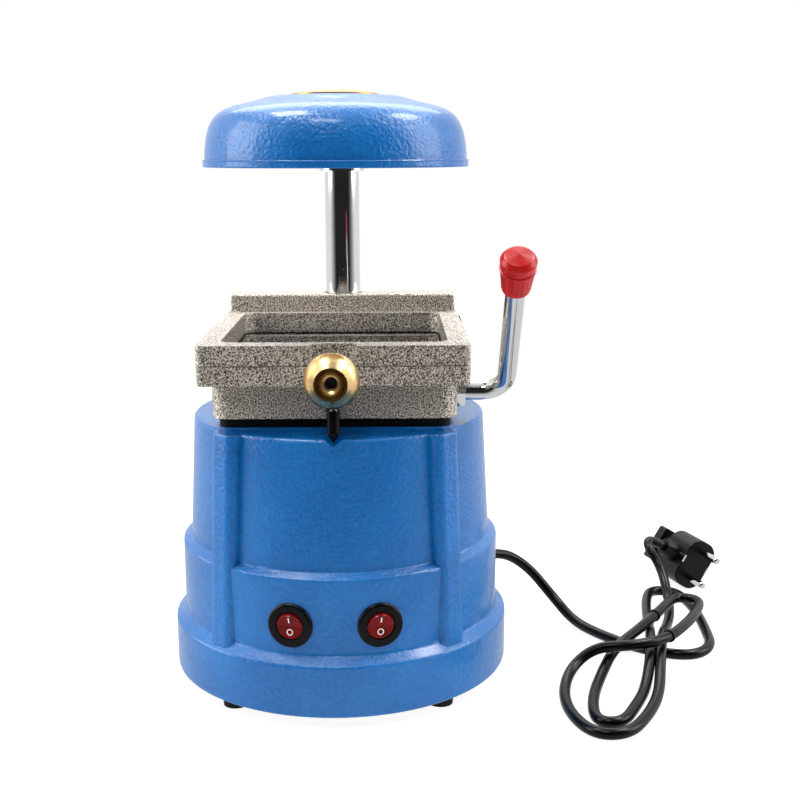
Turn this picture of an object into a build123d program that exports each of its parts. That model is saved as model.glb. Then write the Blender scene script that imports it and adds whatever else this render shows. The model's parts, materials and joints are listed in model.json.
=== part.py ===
from build123d import *
import os
from math import asin, cos, pi, radians, sin, tan

os.makedirs("parts", exist_ok=True)

# ======================================================================
# Driving dimensions, in millimetres.  +Z is up, -Y is the front, and the
# origin is on the table under the axis of the round base.
# ======================================================================

# --- base casting: skirt, middle tier and tapered upper tier
GROUND_GAP = 6.6
SKIRT_H = 27.9
LEDGE_RISE = 4.6
MID_H = 40.6
STEP_RISE = 2.5
TIER_H = 69.0
SKIRT_R = 95.3
MID_R = 89.8
TIER_R_LOW = 85.1
TIER_R_TOP = 81.4
WALL = 4.0

# --- pilaster ribs up the casting
RIB_ANGLES = (-137.5, -42.5, 42.5, 137.5)
RIB_W = 17.0
RIB_DEPTH = 16.0
RIB_CORNER = 5.0
RIB_R_LOW = 93.7
RIB_R_TOP = 88.0

# --- mould platform on top of the base
PAD_SIDE = 124.0
PAD_RISE = 2.4
PAD_CORNER = 10.0
PLATE_R = 50.0
PLATE_T = 1.6
SUCTION_R = 45.0
HOLE_R = 2.0
HOLE_RINGS = (6, 12, 18)
HOLE_PITCH = 12.5
GASKET_SIDE = 121.0
GASKET_BAND = 7.0
GASKET_T = 5.1
GASKET_CORNER = 6.0

# --- column
POST_R = 10.6
POST_WALL = 1.6
POST_Y = 84.0
POST_SEAT_Z = 16.0
POST_LENGTH = 292.0
BOSS_R = 16.5
WIRE_HOLE_R = 5.0
WIRE_HOLE_Z = 60.0
GRUB_R = 3.0
GRUB_HEIGHTS = (34.0, 110.0)

# --- lower frame, which slides on the column
FRAME_W = 140.0
FRAME_FRONT = 71.4
FRAME_CORNER = 3.0
RAIL_W = 11.0
WINDOW_CORNER = 8.0
BOX_INSET = 6.0
SKIRT_BOX_H = 18.4
SKIRT_BOX_CORNER = 9.0
SEAL_FLANGE_T = 4.3
SEAL_LIP = 6.0
LOWER_T = 10.1
BAR_FRONT = 70.3
BAR_DEPTH = 20.0
BAR_INSET = 1.0
BAR_RISE = 20.8
SLIDE_BOSS_TOP_DROP = 3.0
WEB_W = 20.0
BUSH_WALL = 1.5
LIFT_TRAVEL = 65.0

# --- upper frame, hinged at the back
UPPER_T = 10.4
PARTING_GAP = 0.4
EAR_W = 6.6
HINGE_PIN_R = 2.0
HINGE_HEAD_R = 4.2
HINGE_HEAD_T = 3.0

# --- swing bolt and brass knob at the front
PIVOT_INSET = 5.4
PIVOT_DROP = 3.8
BOLT_R = 3.0
EYE_R = 4.5
EYE_W = 7.0
PIVOT_PIN_R = 2.0
PIVOT_PIN_L = 22.0
KNOB_R = 14.0
KNOB_L = 16.5
KNOB_FLANGE_R = 12.6
KNOB_NOSE_R = 8.4
KNOB_DISH_R = 7.6
KNOB_DISH_DEPTH = 6.0
KNOB_BACKED_OFF = 3.0
WASHER_R = 13.0
WASHER_T = 1.6
LUG_RECESS_W = 24.0
LUG_RECESS_D = 8.0
LUG_FLOOR_T = 3.0

# --- locating pin in front of the lower frame
PIN_R = 3.4
PIN_Y = 77.0
PIN_TOP_DROP = 2.6
PIN_TIP_SINK = 2.0
PIN_TIP_L = 5.0
PIN_TIP_R = 0.5
PIN_SPIGOT_R = 2.4
PIN_FLAT = 2.0
PIN_SPIGOT_SET = 4.0
NOTCH_W = 9.0
NOTCH_DEPTH = 3.4

# --- lift lever
LEVER_R = 5.0
LEVER_Y = 37.8
LEVER_X = 90.8
LEVER_BEND = 13.0
LEVER_LEAN = 38.0
LEVER_ARM = 92.0
LEVER_BELOW_PLATE = 9.0
GRIP_L = 22.5
GRIP_R_LOW = 6.9
GRIP_R_TOP = 9.2
GRIP_CAP = 6.0
NUT_FLATS = 15.0
NUT_T = 5.0

# --- heater head
RIM_Z = 286.1
RIM_R = 72.4
RIM_LIP_H = 3.6
DOME_R = 71.5
DOME_H = 38.5
DOME_WALL = 3.0
HUB_R = 7.0
HEAD_BUSH_FLANGE_R = 13.9
HEAD_BUSH_FLANGE_H = 3.3
HEAD_BUSH_L = 20.0
HEAD_BOSS_R = 15.5
HEAD_BOSS_H = 32.0
ELEMENT_R = 60.0
ELEMENT_T = 10.0
ELEMENT_ABOVE_RIM = 6.0
COIL_R = 1.8
COIL_FIRST_R = 14.0
COIL_STEP = 10.0
COIL_COUNT = 5
REFLECTOR_R = 66.5
REFLECTOR_FLAT_R = 58.5
REFLECTOR_T = 1.0
SPACER_H = 6.0
SPACER_R = 9.0
ELEMENT_BOLT_R = 2.5
GUARD_WIRE_R = 0.9
GUARD_LEG_R = 1.2
GUARD_RING_R = 57.0
GUARD_RING_W = 4.0
GUARD_RING_T = 2.0
GUARD_DROP = 4.0
GUARD_BARS = (-36.0, -12.0, 12.0, 36.0)
BADGE_R = 24.0
BADGE_T = 0.8
BADGE_RISE = 2.7
BADGE_DROP = 0.6

# --- switches
SWITCH_ANGLES = (-15.0, 15.0)
SWITCH_ABOVE_LEDGE = 15.6
BEZEL_R = 12.0
BEZEL_T = 2.4
SPOT_FACE = 0.9
SWITCH_BARREL_R = 10.0
SWITCH_BARREL_L = 18.0
ROCKER_R = 7.4
ROCKER_VALLEY = 1.8
ROCKER_TILT = 11.0
ROCKER_PIVOT_R = 1.0
ROCKER_GAP = 0.2
BLADE = (0.8, 4.8, 8.0)

# --- bottom plate, feet and screws
PLATE_GAP = 0.3
BOTTOM_T = 2.0
BOTTOM_INSET = 2.4
FOOT_INSET = 12.5
FOOT_ANGLE = 47.93
FOOT_R = 6.8
FOOT_TOP_R = 7.6
SCREW_R = 2.0
SCREW_HEAD_R = 3.8
SCREW_HEAD_T = 2.0
SCREW_L = 16.0
SCREW_POST_R = 6.0
VENT_COUNT = 12
VENT_R = 60.0
VENT_L = 26.0
VENT_W = 4.0

# --- vacuum motor
BOWL_DEPTH = 20.0
BOWL_T = 1.2
BOWL_NECK_R = 18.0
BOWL_NECK_L = 6.0
SEAL_H = 5.0
FAN_R = 52.0
FAN_H = 27.0
FAN_WALL = 1.5
IMPELLER_R = 46.0
IMPELLER_H = 13.0
IMPELLER_GAP = 5.0
BLADE_COUNT = 9
MOTOR_R = 38.0
MOTOR_WALL = 3.0
SHAFT_R = 4.0
CORE_R = 19.0
CORE_H = 30.0
STAND_Z = 36.0
STAND_R = 46.0
STAND_T = 2.0
STAND_LEG_R = 5.0
STAND_LEG_PCD = 78.0

# --- mains lead, gland and plug
CORD_R = 3.1
GLAND_ANGLE = 56.0
GLAND_ABOVE_LEDGE = 6.0
GLAND_R = 5.6
GLAND_TIP_R = 4.4
GLAND_OUT = 14.0
GLAND_IN = 3.0
GLAND_FLANGE_R = 7.6
CORD_TAIL = 8.0
CORD_LEAVES = 115.0
CORD_BEND_SHARE = 0.45
PLUG_AT = (233.0, 126.0, 16.8)
PLUG_HEADING = -72.5
PLUG_ROLL = 57.0
PLUG_W = 34.0
PLUG_D = 22.0
PLUG_L = 26.0
PLUG_CORNER = 9.0
PLUG_NECK = (20.0, 13.0, 12.0)
PLUG_GRIP = (25.0, 18.0, 8.0)
PLUG_BOSS_R = 6.6
PLUG_BOSS_L = 21.0
PLUG_CORD_L = 34.0
PLUG_CORD_IN = 13.0
PLUG_PIN_R = 2.4
PLUG_PIN_L = 19.0
PLUG_PIN_PITCH = 19.0
PLUG_PIN_SET = 10.0
PLUG_CLIP = (5.0, 1.2, 12.0)
TERMINAL_BLOCK = (30.0, 12.0, 14.0)
TERMINAL_Y = 56.0
LEAD_R = 2.2

# --- clearances
RUN = 0.05
SEAT = 0.02
LOOSE = 0.4

# ======================================================================
# Levels and places worked out from the dimensions above
# ======================================================================
SKIRT_TOP = GROUND_GAP + SKIRT_H
MID_BOTTOM = SKIRT_TOP + LEDGE_RISE
MID_TOP = MID_BOTTOM + MID_H
TIER_BOTTOM = MID_TOP + STEP_RISE
BASE_TOP = TIER_BOTTOM + TIER_H
PAD_TOP = BASE_TOP + PAD_RISE
FRAME_BOTTOM = PAD_TOP + GASKET_T
WINDOW = FRAME_W - 2 * RAIL_W
SKIRT_BOX = FRAME_W - 2 * BOX_INSET
SEAL_OPENING = WINDOW - 2 * SEAL_LIP
BAR_W = FRAME_W - 2 * BAR_INSET
LOWER_PLATE_Z = FRAME_BOTTOM + SKIRT_BOX_H
LOWER_TOP = LOWER_PLATE_Z + LOWER_T
UPPER_Z = LOWER_TOP + PARTING_GAP
UPPER_TOP = UPPER_Z + UPPER_T
BAR_TOP = LOWER_TOP + BAR_RISE
HINGE_R = UPPER_T / 2
HINGE_Y = BAR_FRONT - HINGE_R - LOOSE
HINGE_Z = UPPER_Z + HINGE_R
PIVOT_Y = -(FRAME_FRONT - PIVOT_INSET)
PIVOT_Z = LOWER_TOP - PIVOT_DROP
CLAMP_REACH = UPPER_TOP - PIVOT_Z
WASHER_S = CLAMP_REACH + KNOB_BACKED_OFF
KNOB_S = WASHER_S + WASHER_T + SEAT
BOTTOM_Z = GROUND_GAP + BOTTOM_INSET
BOTTOM_TOP = BOTTOM_Z + BOTTOM_T
POST_TOP = POST_SEAT_Z + POST_LENGTH
ELEMENT_Z = RIM_Z + ELEMENT_ABOVE_RIM
ELEMENT_TOP = ELEMENT_Z + ELEMENT_T
COIL_RINGS = [COIL_FIRST_R + n * COIL_STEP for n in range(COIL_COUNT)]
REFLECTOR_Z = ELEMENT_TOP + SPACER_H
HEAD_BUSH_Z = RIM_Z - HEAD_BUSH_FLANGE_H
DOME_TOP = RIM_Z + DOME_H
SWITCH_Z = MID_BOTTOM + SWITCH_ABOVE_LEDGE
BOWL_TOP = BASE_TOP - WALL
BOWL_BOTTOM = BOWL_TOP - BOWL_DEPTH
SEAL_TOP = BOWL_BOTTOM - BOWL_NECK_L
FAN_TOP = SEAL_TOP - SEAL_H
FAN_BOTTOM = FAN_TOP - FAN_H
GLAND_Z = MID_BOTTOM + GLAND_ABOVE_LEDGE
FOOT_X = (SKIRT_R - FOOT_INSET) * cos(radians(FOOT_ANGLE))
FOOT_Y = (SKIRT_R - FOOT_INSET) * sin(radians(FOOT_ANGLE))
FEET = [(x, y) for x in (-FOOT_X, FOOT_X) for y in (-FOOT_Y, FOOT_Y)]


def radial_plane(angle, distance, height):
    """Plane facing outwards from the base axis; angle is measured from the front, towards +X."""
    a = radians(angle)
    return Plane(
        origin=(distance * sin(a), -distance * cos(a), height),
        x_dir=(cos(a), sin(a), 0),
        z_dir=(sin(a), -cos(a), 0),
    )


# The swing bolt's own frame: local Y runs out along the bolt, local X across it
BOLT_PLANE = Plane(origin=(0, PIVOT_Y, PIVOT_Z), x_dir=(1, 0, 0), z_dir=(0, 0, -1))
BOLT_AXIS = Axis((0, PIVOT_Y, PIVOT_Z), (0, -1, 0))

# ======================================================================
# Base
# ======================================================================

# One pilaster rib, upright at the front, with a rounded head
with BuildPart() as rib:
    with BuildSketch(Plane.XY.offset(SKIRT_TOP - WALL)):
        with Locations((0, -(RIB_R_LOW - RIB_DEPTH / 2))):
            RectangleRounded(RIB_W, RIB_DEPTH, RIB_CORNER)
    with BuildSketch(Plane.XY.offset(BASE_TOP)):
        with Locations((0, -(RIB_R_TOP - RIB_DEPTH / 2))):
            RectangleRounded(RIB_W, RIB_DEPTH, RIB_CORNER)
    loft()
    fillet(rib.faces().sort_by(Axis.Z)[-1].edges(), 1.6)

# Cast housing: revolved shell with ribs, column boss, screw posts and openings
with BuildPart() as base_housing:
    with BuildSketch(Plane.XZ):
        with BuildLine():
            FilletPolyline(
                (0, GROUND_GAP),
                (SKIRT_R, GROUND_GAP),
                (SKIRT_R, SKIRT_TOP),
                (MID_R, MID_BOTTOM),
                (MID_R, MID_TOP),
                (TIER_R_LOW, TIER_BOTTOM),
                (TIER_R_TOP, BASE_TOP),
                (0, BASE_TOP),
                radius=[1.5, 2.0, 2.0, 1.5, 1.2, 2.2],
            )
            Line((0, BASE_TOP), (0, GROUND_GAP))
        make_face()
    revolve(axis=Axis.Z)
    with Locations(*[Location((0, 0, 0), (0, 0, angle)) for angle in RIB_ANGLES]):
        add(rib.part)
    with BuildSketch(Plane.XY.offset(BASE_TOP)):
        RectangleRounded(PAD_SIDE, PAD_SIDE, PAD_CORNER)
    extrude(amount=PAD_RISE)
    with BuildSketch(Plane.XZ):
        with BuildLine():
            Polyline(
                (0, GROUND_GAP),
                (SKIRT_R - WALL, GROUND_GAP),
                (SKIRT_R - WALL, SKIRT_TOP - WALL),
                (MID_R - WALL, MID_BOTTOM - WALL),
                (MID_R - WALL, MID_TOP - WALL),
                (TIER_R_LOW - WALL, TIER_BOTTOM - WALL),
                (TIER_R_TOP - WALL, BASE_TOP - WALL),
                (0, BASE_TOP - WALL),
                close=True,
            )
        make_face()
    revolve(axis=Axis.Z, mode=Mode.SUBTRACT)
    # column boss up the back, with a rounded head
    with BuildSketch(Plane.XY.offset(GROUND_GAP)):
        with Locations((0, POST_Y)):
            Circle(BOSS_R)
    extrude(amount=BASE_TOP - GROUND_GAP)
    # posts that take the foot screws
    with BuildSketch(Plane.XY.offset(BOTTOM_TOP)):
        with Locations(*FEET):
            Circle(SCREW_POST_R)
    extrude(amount=SKIRT_TOP - BOTTOM_TOP)
    with BuildSketch(Plane.XY.offset(BOTTOM_TOP)):
        with Locations(*FEET):
            Circle(SCREW_R + SEAT)
    extrude(amount=SCREW_L, mode=Mode.SUBTRACT)
    # bore for the column, its wire hole and the grub screws
    with BuildSketch(Plane.XY.offset(POST_SEAT_Z)):
        with Locations((0, POST_Y)):
            Circle(POST_R + SEAT)
    extrude(amount=BASE_TOP, mode=Mode.SUBTRACT)
    with BuildSketch(Plane.XZ.offset(-POST_Y)):
        with Locations((0, WIRE_HOLE_Z)):
            Circle(WIRE_HOLE_R)
    extrude(amount=BOSS_R + WALL, mode=Mode.SUBTRACT)
    with BuildSketch(Plane.XZ.offset(-POST_Y)):
        with Locations(*[(0, z) for z in GRUB_HEIGHTS]):
            Circle(GRUB_R + SEAT)
    extrude(amount=-BOSS_R * 2, mode=Mode.SUBTRACT)
    # suction opening and the seat of the perforated plate
    with BuildSketch(Plane.XY.offset(PAD_TOP)):
        Circle(SUCTION_R)
    extrude(amount=-(PAD_RISE + WALL), mode=Mode.SUBTRACT)
    with BuildSketch(Plane.XY.offset(PAD_TOP)):
        Circle(PLATE_R + SEAT)
    extrude(amount=-PLATE_T, mode=Mode.SUBTRACT)
    # switch holes, each with a flat spot-face on the round wall
    for angle in SWITCH_ANGLES:
        with BuildSketch(radial_plane(angle, MID_R - SPOT_FACE, SWITCH_Z)):
            Circle(SWITCH_BARREL_R + SEAT)
        extrude(amount=-2 * WALL, mode=Mode.SUBTRACT)
        with BuildSketch(radial_plane(angle, MID_R - SPOT_FACE, SWITCH_Z)):
            Circle(BEZEL_R + SEAT)
        extrude(amount=WALL, mode=Mode.SUBTRACT)
    # hole for the cord gland, on the back right
    with BuildSketch(radial_plane(180 - GLAND_ANGLE, MID_R + WALL, GLAND_Z)):
        Circle(GLAND_R + SEAT)
    extrude(amount=-3 * WALL, mode=Mode.SUBTRACT)
    # flat land inside the wall for the gland's flange
    with BuildSketch(radial_plane(180 - GLAND_ANGLE, MID_R - WALL, GLAND_Z)):
        Circle(GLAND_FLANGE_R + LOOSE)
    extrude(amount=-2 * WALL, mode=Mode.SUBTRACT)
    # V notch in the front rim for the locating pin
    with BuildSketch(Plane.XZ.offset(PIN_Y - 2 * PIN_R)):
        with BuildLine():
            Polyline(
                (-NOTCH_W / 2 - 1, BASE_TOP + 1),
                (-NOTCH_W / 2, BASE_TOP),
                (0, BASE_TOP - NOTCH_DEPTH),
                (NOTCH_W / 2, BASE_TOP),
                (NOTCH_W / 2 + 1, BASE_TOP + 1),
                close=True,
            )
        make_face()
    extrude(amount=4 * PIN_R, mode=Mode.SUBTRACT)
base_housing.part.label = "base_housing"
export_step(base_housing.part, "parts/base_housing.step")

# Perforated plate that the dental model stands on
with BuildPart() as perforated_plate:
    with BuildSketch(Plane.XY.offset(PAD_TOP - PLATE_T)):
        Circle(PLATE_R)
        Circle(HOLE_R, mode=Mode.SUBTRACT)
        for ring, count in enumerate(HOLE_RINGS, start=1):
            with PolarLocations(ring * HOLE_PITCH, count):
                Circle(HOLE_R, mode=Mode.SUBTRACT)
    extrude(amount=PLATE_T)
perforated_plate.part.label = "perforated_plate"
export_step(perforated_plate.part, "parts/perforated_plate.step")

# Black sealing gasket round the plate
with BuildPart() as seal_gasket:
    with BuildSketch(Plane.XY.offset(PAD_TOP)):
        RectangleRounded(GASKET_SIDE, GASKET_SIDE, GASKET_CORNER)
        inner_side = GASKET_SIDE - 2 * GASKET_BAND
        RectangleRounded(inner_side, inner_side, GASKET_CORNER / 2, mode=Mode.SUBTRACT)
    extrude(amount=GASKET_T)
seal_gasket.part.label = "seal_gasket"
export_step(seal_gasket.part, "parts/seal_gasket.step")

# Bottom plate with motor vents
with BuildPart() as bottom_plate:
    with BuildSketch(Plane.XY.offset(BOTTOM_Z)):
        Circle(SKIRT_R - WALL - PLATE_GAP)
        with Locations((0, POST_Y)):
            Circle(BOSS_R + PLATE_GAP, mode=Mode.SUBTRACT)
        with Locations(*FEET):
            Circle(SCREW_R + SEAT, mode=Mode.SUBTRACT)
        with PolarLocations(VENT_R - VENT_L, VENT_COUNT, start_angle=180 / VENT_COUNT):
            with Locations((VENT_L / 2, 0)):
                SlotOverall(VENT_L, VENT_W, mode=Mode.SUBTRACT)
    extrude(amount=BOTTOM_T)
bottom_plate.part.label = "bottom_plate"
export_step(bottom_plate.part, "parts/bottom_plate.step")

# Four tapered rubber feet, each recessed for its screw head
with BuildPart() as rubber_feet:
    with BuildSketch():
        with Locations(*FEET):
            Circle(FOOT_R)
    with BuildSketch(Plane.XY.offset(BOTTOM_Z)):
        with Locations(*FEET):
            Circle(FOOT_TOP_R)
    for low, high in zip(rubber_feet.pending_faces[:4], rubber_feet.pending_faces[4:]):
        loft(sections=[low, high])
    with Locations(*FEET):
        Hole(SCREW_R + SEAT)
        Cylinder(
            SCREW_HEAD_R + LOOSE,
            2 * SCREW_HEAD_T,
            align=(Align.CENTER, Align.CENTER, Align.MIN),
            mode=Mode.SUBTRACT,
        )
rubber_feet.part.label = "rubber_feet"
export_step(rubber_feet.part, "parts/rubber_feet.step")

# Pan-head screws up through the feet and the bottom plate
with BuildPart() as foot_screws:
    with BuildSketch(Plane.XY.offset(SCREW_HEAD_T)):
        with Locations(*FEET):
            Circle(SCREW_HEAD_R)
    extrude(amount=SCREW_HEAD_T)
    with BuildSketch(Plane.XY.offset(2 * SCREW_HEAD_T)):
        with Locations(*FEET):
            Circle(SCREW_R)
    extrude(amount=BOTTOM_TOP - 2 * SCREW_HEAD_T + SCREW_L - 2)
foot_screws.part.label = "foot_screws"
export_step(foot_screws.part, "parts/foot_screws.step")

# Chromed column: a tube with a side hole for the heater wires
with BuildPart() as column:
    with BuildSketch(Plane.XY.offset(POST_SEAT_Z)):
        with Locations((0, POST_Y)):
            Circle(POST_R)
            Circle(POST_R - POST_WALL, mode=Mode.SUBTRACT)
    extrude(amount=POST_LENGTH)
    with BuildSketch(Plane.XZ.offset(-POST_Y)):
        with Locations((0, WIRE_HOLE_Z)):
            Circle(WIRE_HOLE_R)
    extrude(amount=2 * POST_R, mode=Mode.SUBTRACT)
column.part.label = "column"
export_step(column.part, "parts/column.step")

# Grub screws that hold the column in the base
with BuildPart() as column_grub_screws:
    with BuildSketch(Plane.XZ.offset(-(POST_Y + POST_R))):
        with Locations(*[(0, z) for z in GRUB_HEIGHTS]):
            Circle(GRUB_R)
            RegularPolygon(GRUB_R / 2, 6, mode=Mode.SUBTRACT)
    extrude(amount=-(BOSS_R - POST_R - 1))
column_grub_screws.part.label = "column_grub_screws"
export_step(column_grub_screws.part, "parts/column_grub_screws.step")

# ======================================================================
# Vacuum motor under the suction opening
# ======================================================================

# Spun bowl that gathers the air under the perforated plate
with BuildPart() as suction_bowl:
    with BuildSketch(Plane.XZ):
        with BuildLine():
            outer = FilletPolyline(
                (SUCTION_R + 4, BOWL_TOP - BOWL_T),
                (SUCTION_R - 2, BOWL_TOP - BOWL_T),
                (BOWL_NECK_R + 8, BOWL_BOTTOM),
                (BOWL_NECK_R, BOWL_BOTTOM),
                (BOWL_NECK_R, SEAL_TOP),
                radius=[2.0, 3.0, 2.0],
            )
            inner = FilletPolyline(
                (SUCTION_R + 4, BOWL_TOP),
                (SUCTION_R - 2 - BOWL_T, BOWL_TOP),
                (BOWL_NECK_R + 8 - BOWL_T, BOWL_BOTTOM + BOWL_T),
                (BOWL_NECK_R - BOWL_T, BOWL_BOTTOM + BOWL_T),
                (BOWL_NECK_R - BOWL_T, SEAL_TOP),
                radius=[2.0, 2.0, 1.5],
            )
            Line(outer @ 0, inner @ 0)
            Line(outer @ 1, inner @ 1)
        make_face()
    revolve(axis=Axis.Z)
suction_bowl.part.label = "suction_bowl"
export_step(suction_bowl.part, "parts/suction_bowl.step")

# Rubber ring between the bowl's neck and the fan can
with BuildPart() as motor_seal:
    with BuildSketch(Plane.XY.offset(FAN_TOP)):
        Circle(BOWL_NECK_R + 3)
        Circle(BOWL_NECK_R - BOWL_T, mode=Mode.SUBTRACT)
    extrude(amount=SEAL_H)
motor_seal.part.label = "motor_seal"
export_step(motor_seal.part, "parts/motor_seal.step")

# Fan can: a shallow drum with an inlet on top and a ring of outlet ports
with BuildPart() as fan_can:
    with BuildSketch(Plane.XY.offset(FAN_BOTTOM)):
        Circle(FAN_R)
    extrude(amount=FAN_H)
    fillet(fan_can.edges().group_by(Axis.Z)[-1], 3)
    with BuildSketch(Plane.XY.offset(FAN_BOTTOM + FAN_WALL)):
        Circle(FAN_R - FAN_WALL)
    extrude(amount=FAN_H - 2 * FAN_WALL, mode=Mode.SUBTRACT)
    with BuildSketch(Plane.XY.offset(FAN_TOP)):
        Circle(BOWL_NECK_R - BOWL_T)
    extrude(amount=-2 * FAN_WALL, mode=Mode.SUBTRACT)
    with BuildSketch(Plane.XY.offset(FAN_BOTTOM)):
        Circle(SHAFT_R + RUN)
        with PolarLocations(MOTOR_R + 7, 6):
            Circle(3)
    extrude(amount=FAN_WALL, mode=Mode.SUBTRACT)
fan_can.part.label = "fan_can"
export_step(fan_can.part, "parts/fan_can.step")

# Motor body: a stator can closed by two end bells
with BuildPart() as motor_body:
    with BuildSketch(Plane.XY.offset(STAND_Z)):
        Circle(MOTOR_R)
    extrude(amount=FAN_BOTTOM - STAND_Z)
    fillet(motor_body.edges().group_by(Axis.Z)[0], 3)
    with BuildSketch(Plane.XY.offset(STAND_Z + MOTOR_WALL)):
        Circle(CORE_R + 1)
    extrude(amount=FAN_BOTTOM - STAND_Z - 2 * MOTOR_WALL, mode=Mode.SUBTRACT)
    with BuildSketch(Plane.XY.offset(STAND_Z)):
        Circle(SHAFT_R + RUN)
    extrude(amount=FAN_BOTTOM - STAND_Z, mode=Mode.SUBTRACT)
motor_body.part.label = "motor_body"
export_step(motor_body.part, "parts/motor_body.step")

# Three-legged stand that carries the motor on the bottom plate
with BuildPart() as motor_stand:
    with BuildSketch(Plane.XY.offset(STAND_Z - STAND_T)):
        Circle(STAND_R)
        Circle(SHAFT_R + 2, mode=Mode.SUBTRACT)
    extrude(amount=STAND_T)
    with BuildSketch(Plane.XY.offset(BOTTOM_TOP)):
        with PolarLocations(STAND_LEG_PCD / 2, 3, start_angle=90):
            Circle(STAND_LEG_R)
    extrude(amount=STAND_Z - STAND_T - BOTTOM_TOP)
motor_stand.part.label = "motor_stand"
export_step(motor_stand.part, "parts/motor_stand.step")

# Rotor: shaft with its wound core
with BuildPart() as rotor_shaft:
    with BuildSketch(Plane.XY.offset(STAND_Z + MOTOR_WALL / 2)):
        Circle(SHAFT_R)
    extrude(amount=FAN_TOP - IMPELLER_GAP - STAND_Z - MOTOR_WALL / 2)
    with BuildSketch(Plane.XY.offset((STAND_Z + FAN_BOTTOM - CORE_H) / 2)):
        Circle(CORE_R)
    extrude(amount=CORE_H)
rotor_shaft.part.label = "rotor_shaft"
export_step(rotor_shaft.part, "parts/rotor_shaft.step")

# Impeller: back disc, hub and swept vanes
BLADE_ANGLES = [n * 360 / BLADE_COUNT for n in range(BLADE_COUNT)]
with BuildPart() as impeller:
    with BuildSketch(Plane.XY.offset(FAN_BOTTOM + FAN_WALL + IMPELLER_GAP)):
        Circle(IMPELLER_R)
    extrude(amount=1.5)
    with BuildSketch(Plane.XY.offset(FAN_BOTTOM + FAN_WALL + IMPELLER_GAP)):
        with Locations(*[Location((0, 0, 0), (0, 0, turn)) for turn in BLADE_ANGLES]):
            with BuildLine():
                vane = ThreePointArc((10, 0), (27, 7), (IMPELLER_R - 1, 0))
                Line(vane @ 1, vane @ 1 + (0, 1.2))
                ThreePointArc(vane @ 1 + (0, 1.2), (27, 8.3), (10, 1.2))
                Line((10, 1.2), (10, 0))
            make_face()
    extrude(amount=IMPELLER_H)
    with BuildSketch(Plane.XY.offset(FAN_BOTTOM + FAN_WALL + IMPELLER_GAP)):
        Circle(11)
    extrude(amount=IMPELLER_H)
    with BuildSketch(Plane.XY.offset(FAN_BOTTOM)):
        Circle(SHAFT_R + SEAT)
    extrude(amount=FAN_H, mode=Mode.SUBTRACT)
impeller.part.label = "impeller"
export_step(impeller.part, "parts/impeller.step")

# ======================================================================
# Lower frame and what rides on it
# ======================================================================
LEVER_Z = LOWER_PLATE_Z - LEVER_BELOW_PLATE
BOX_HALF = SKIRT_BOX / 2

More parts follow.
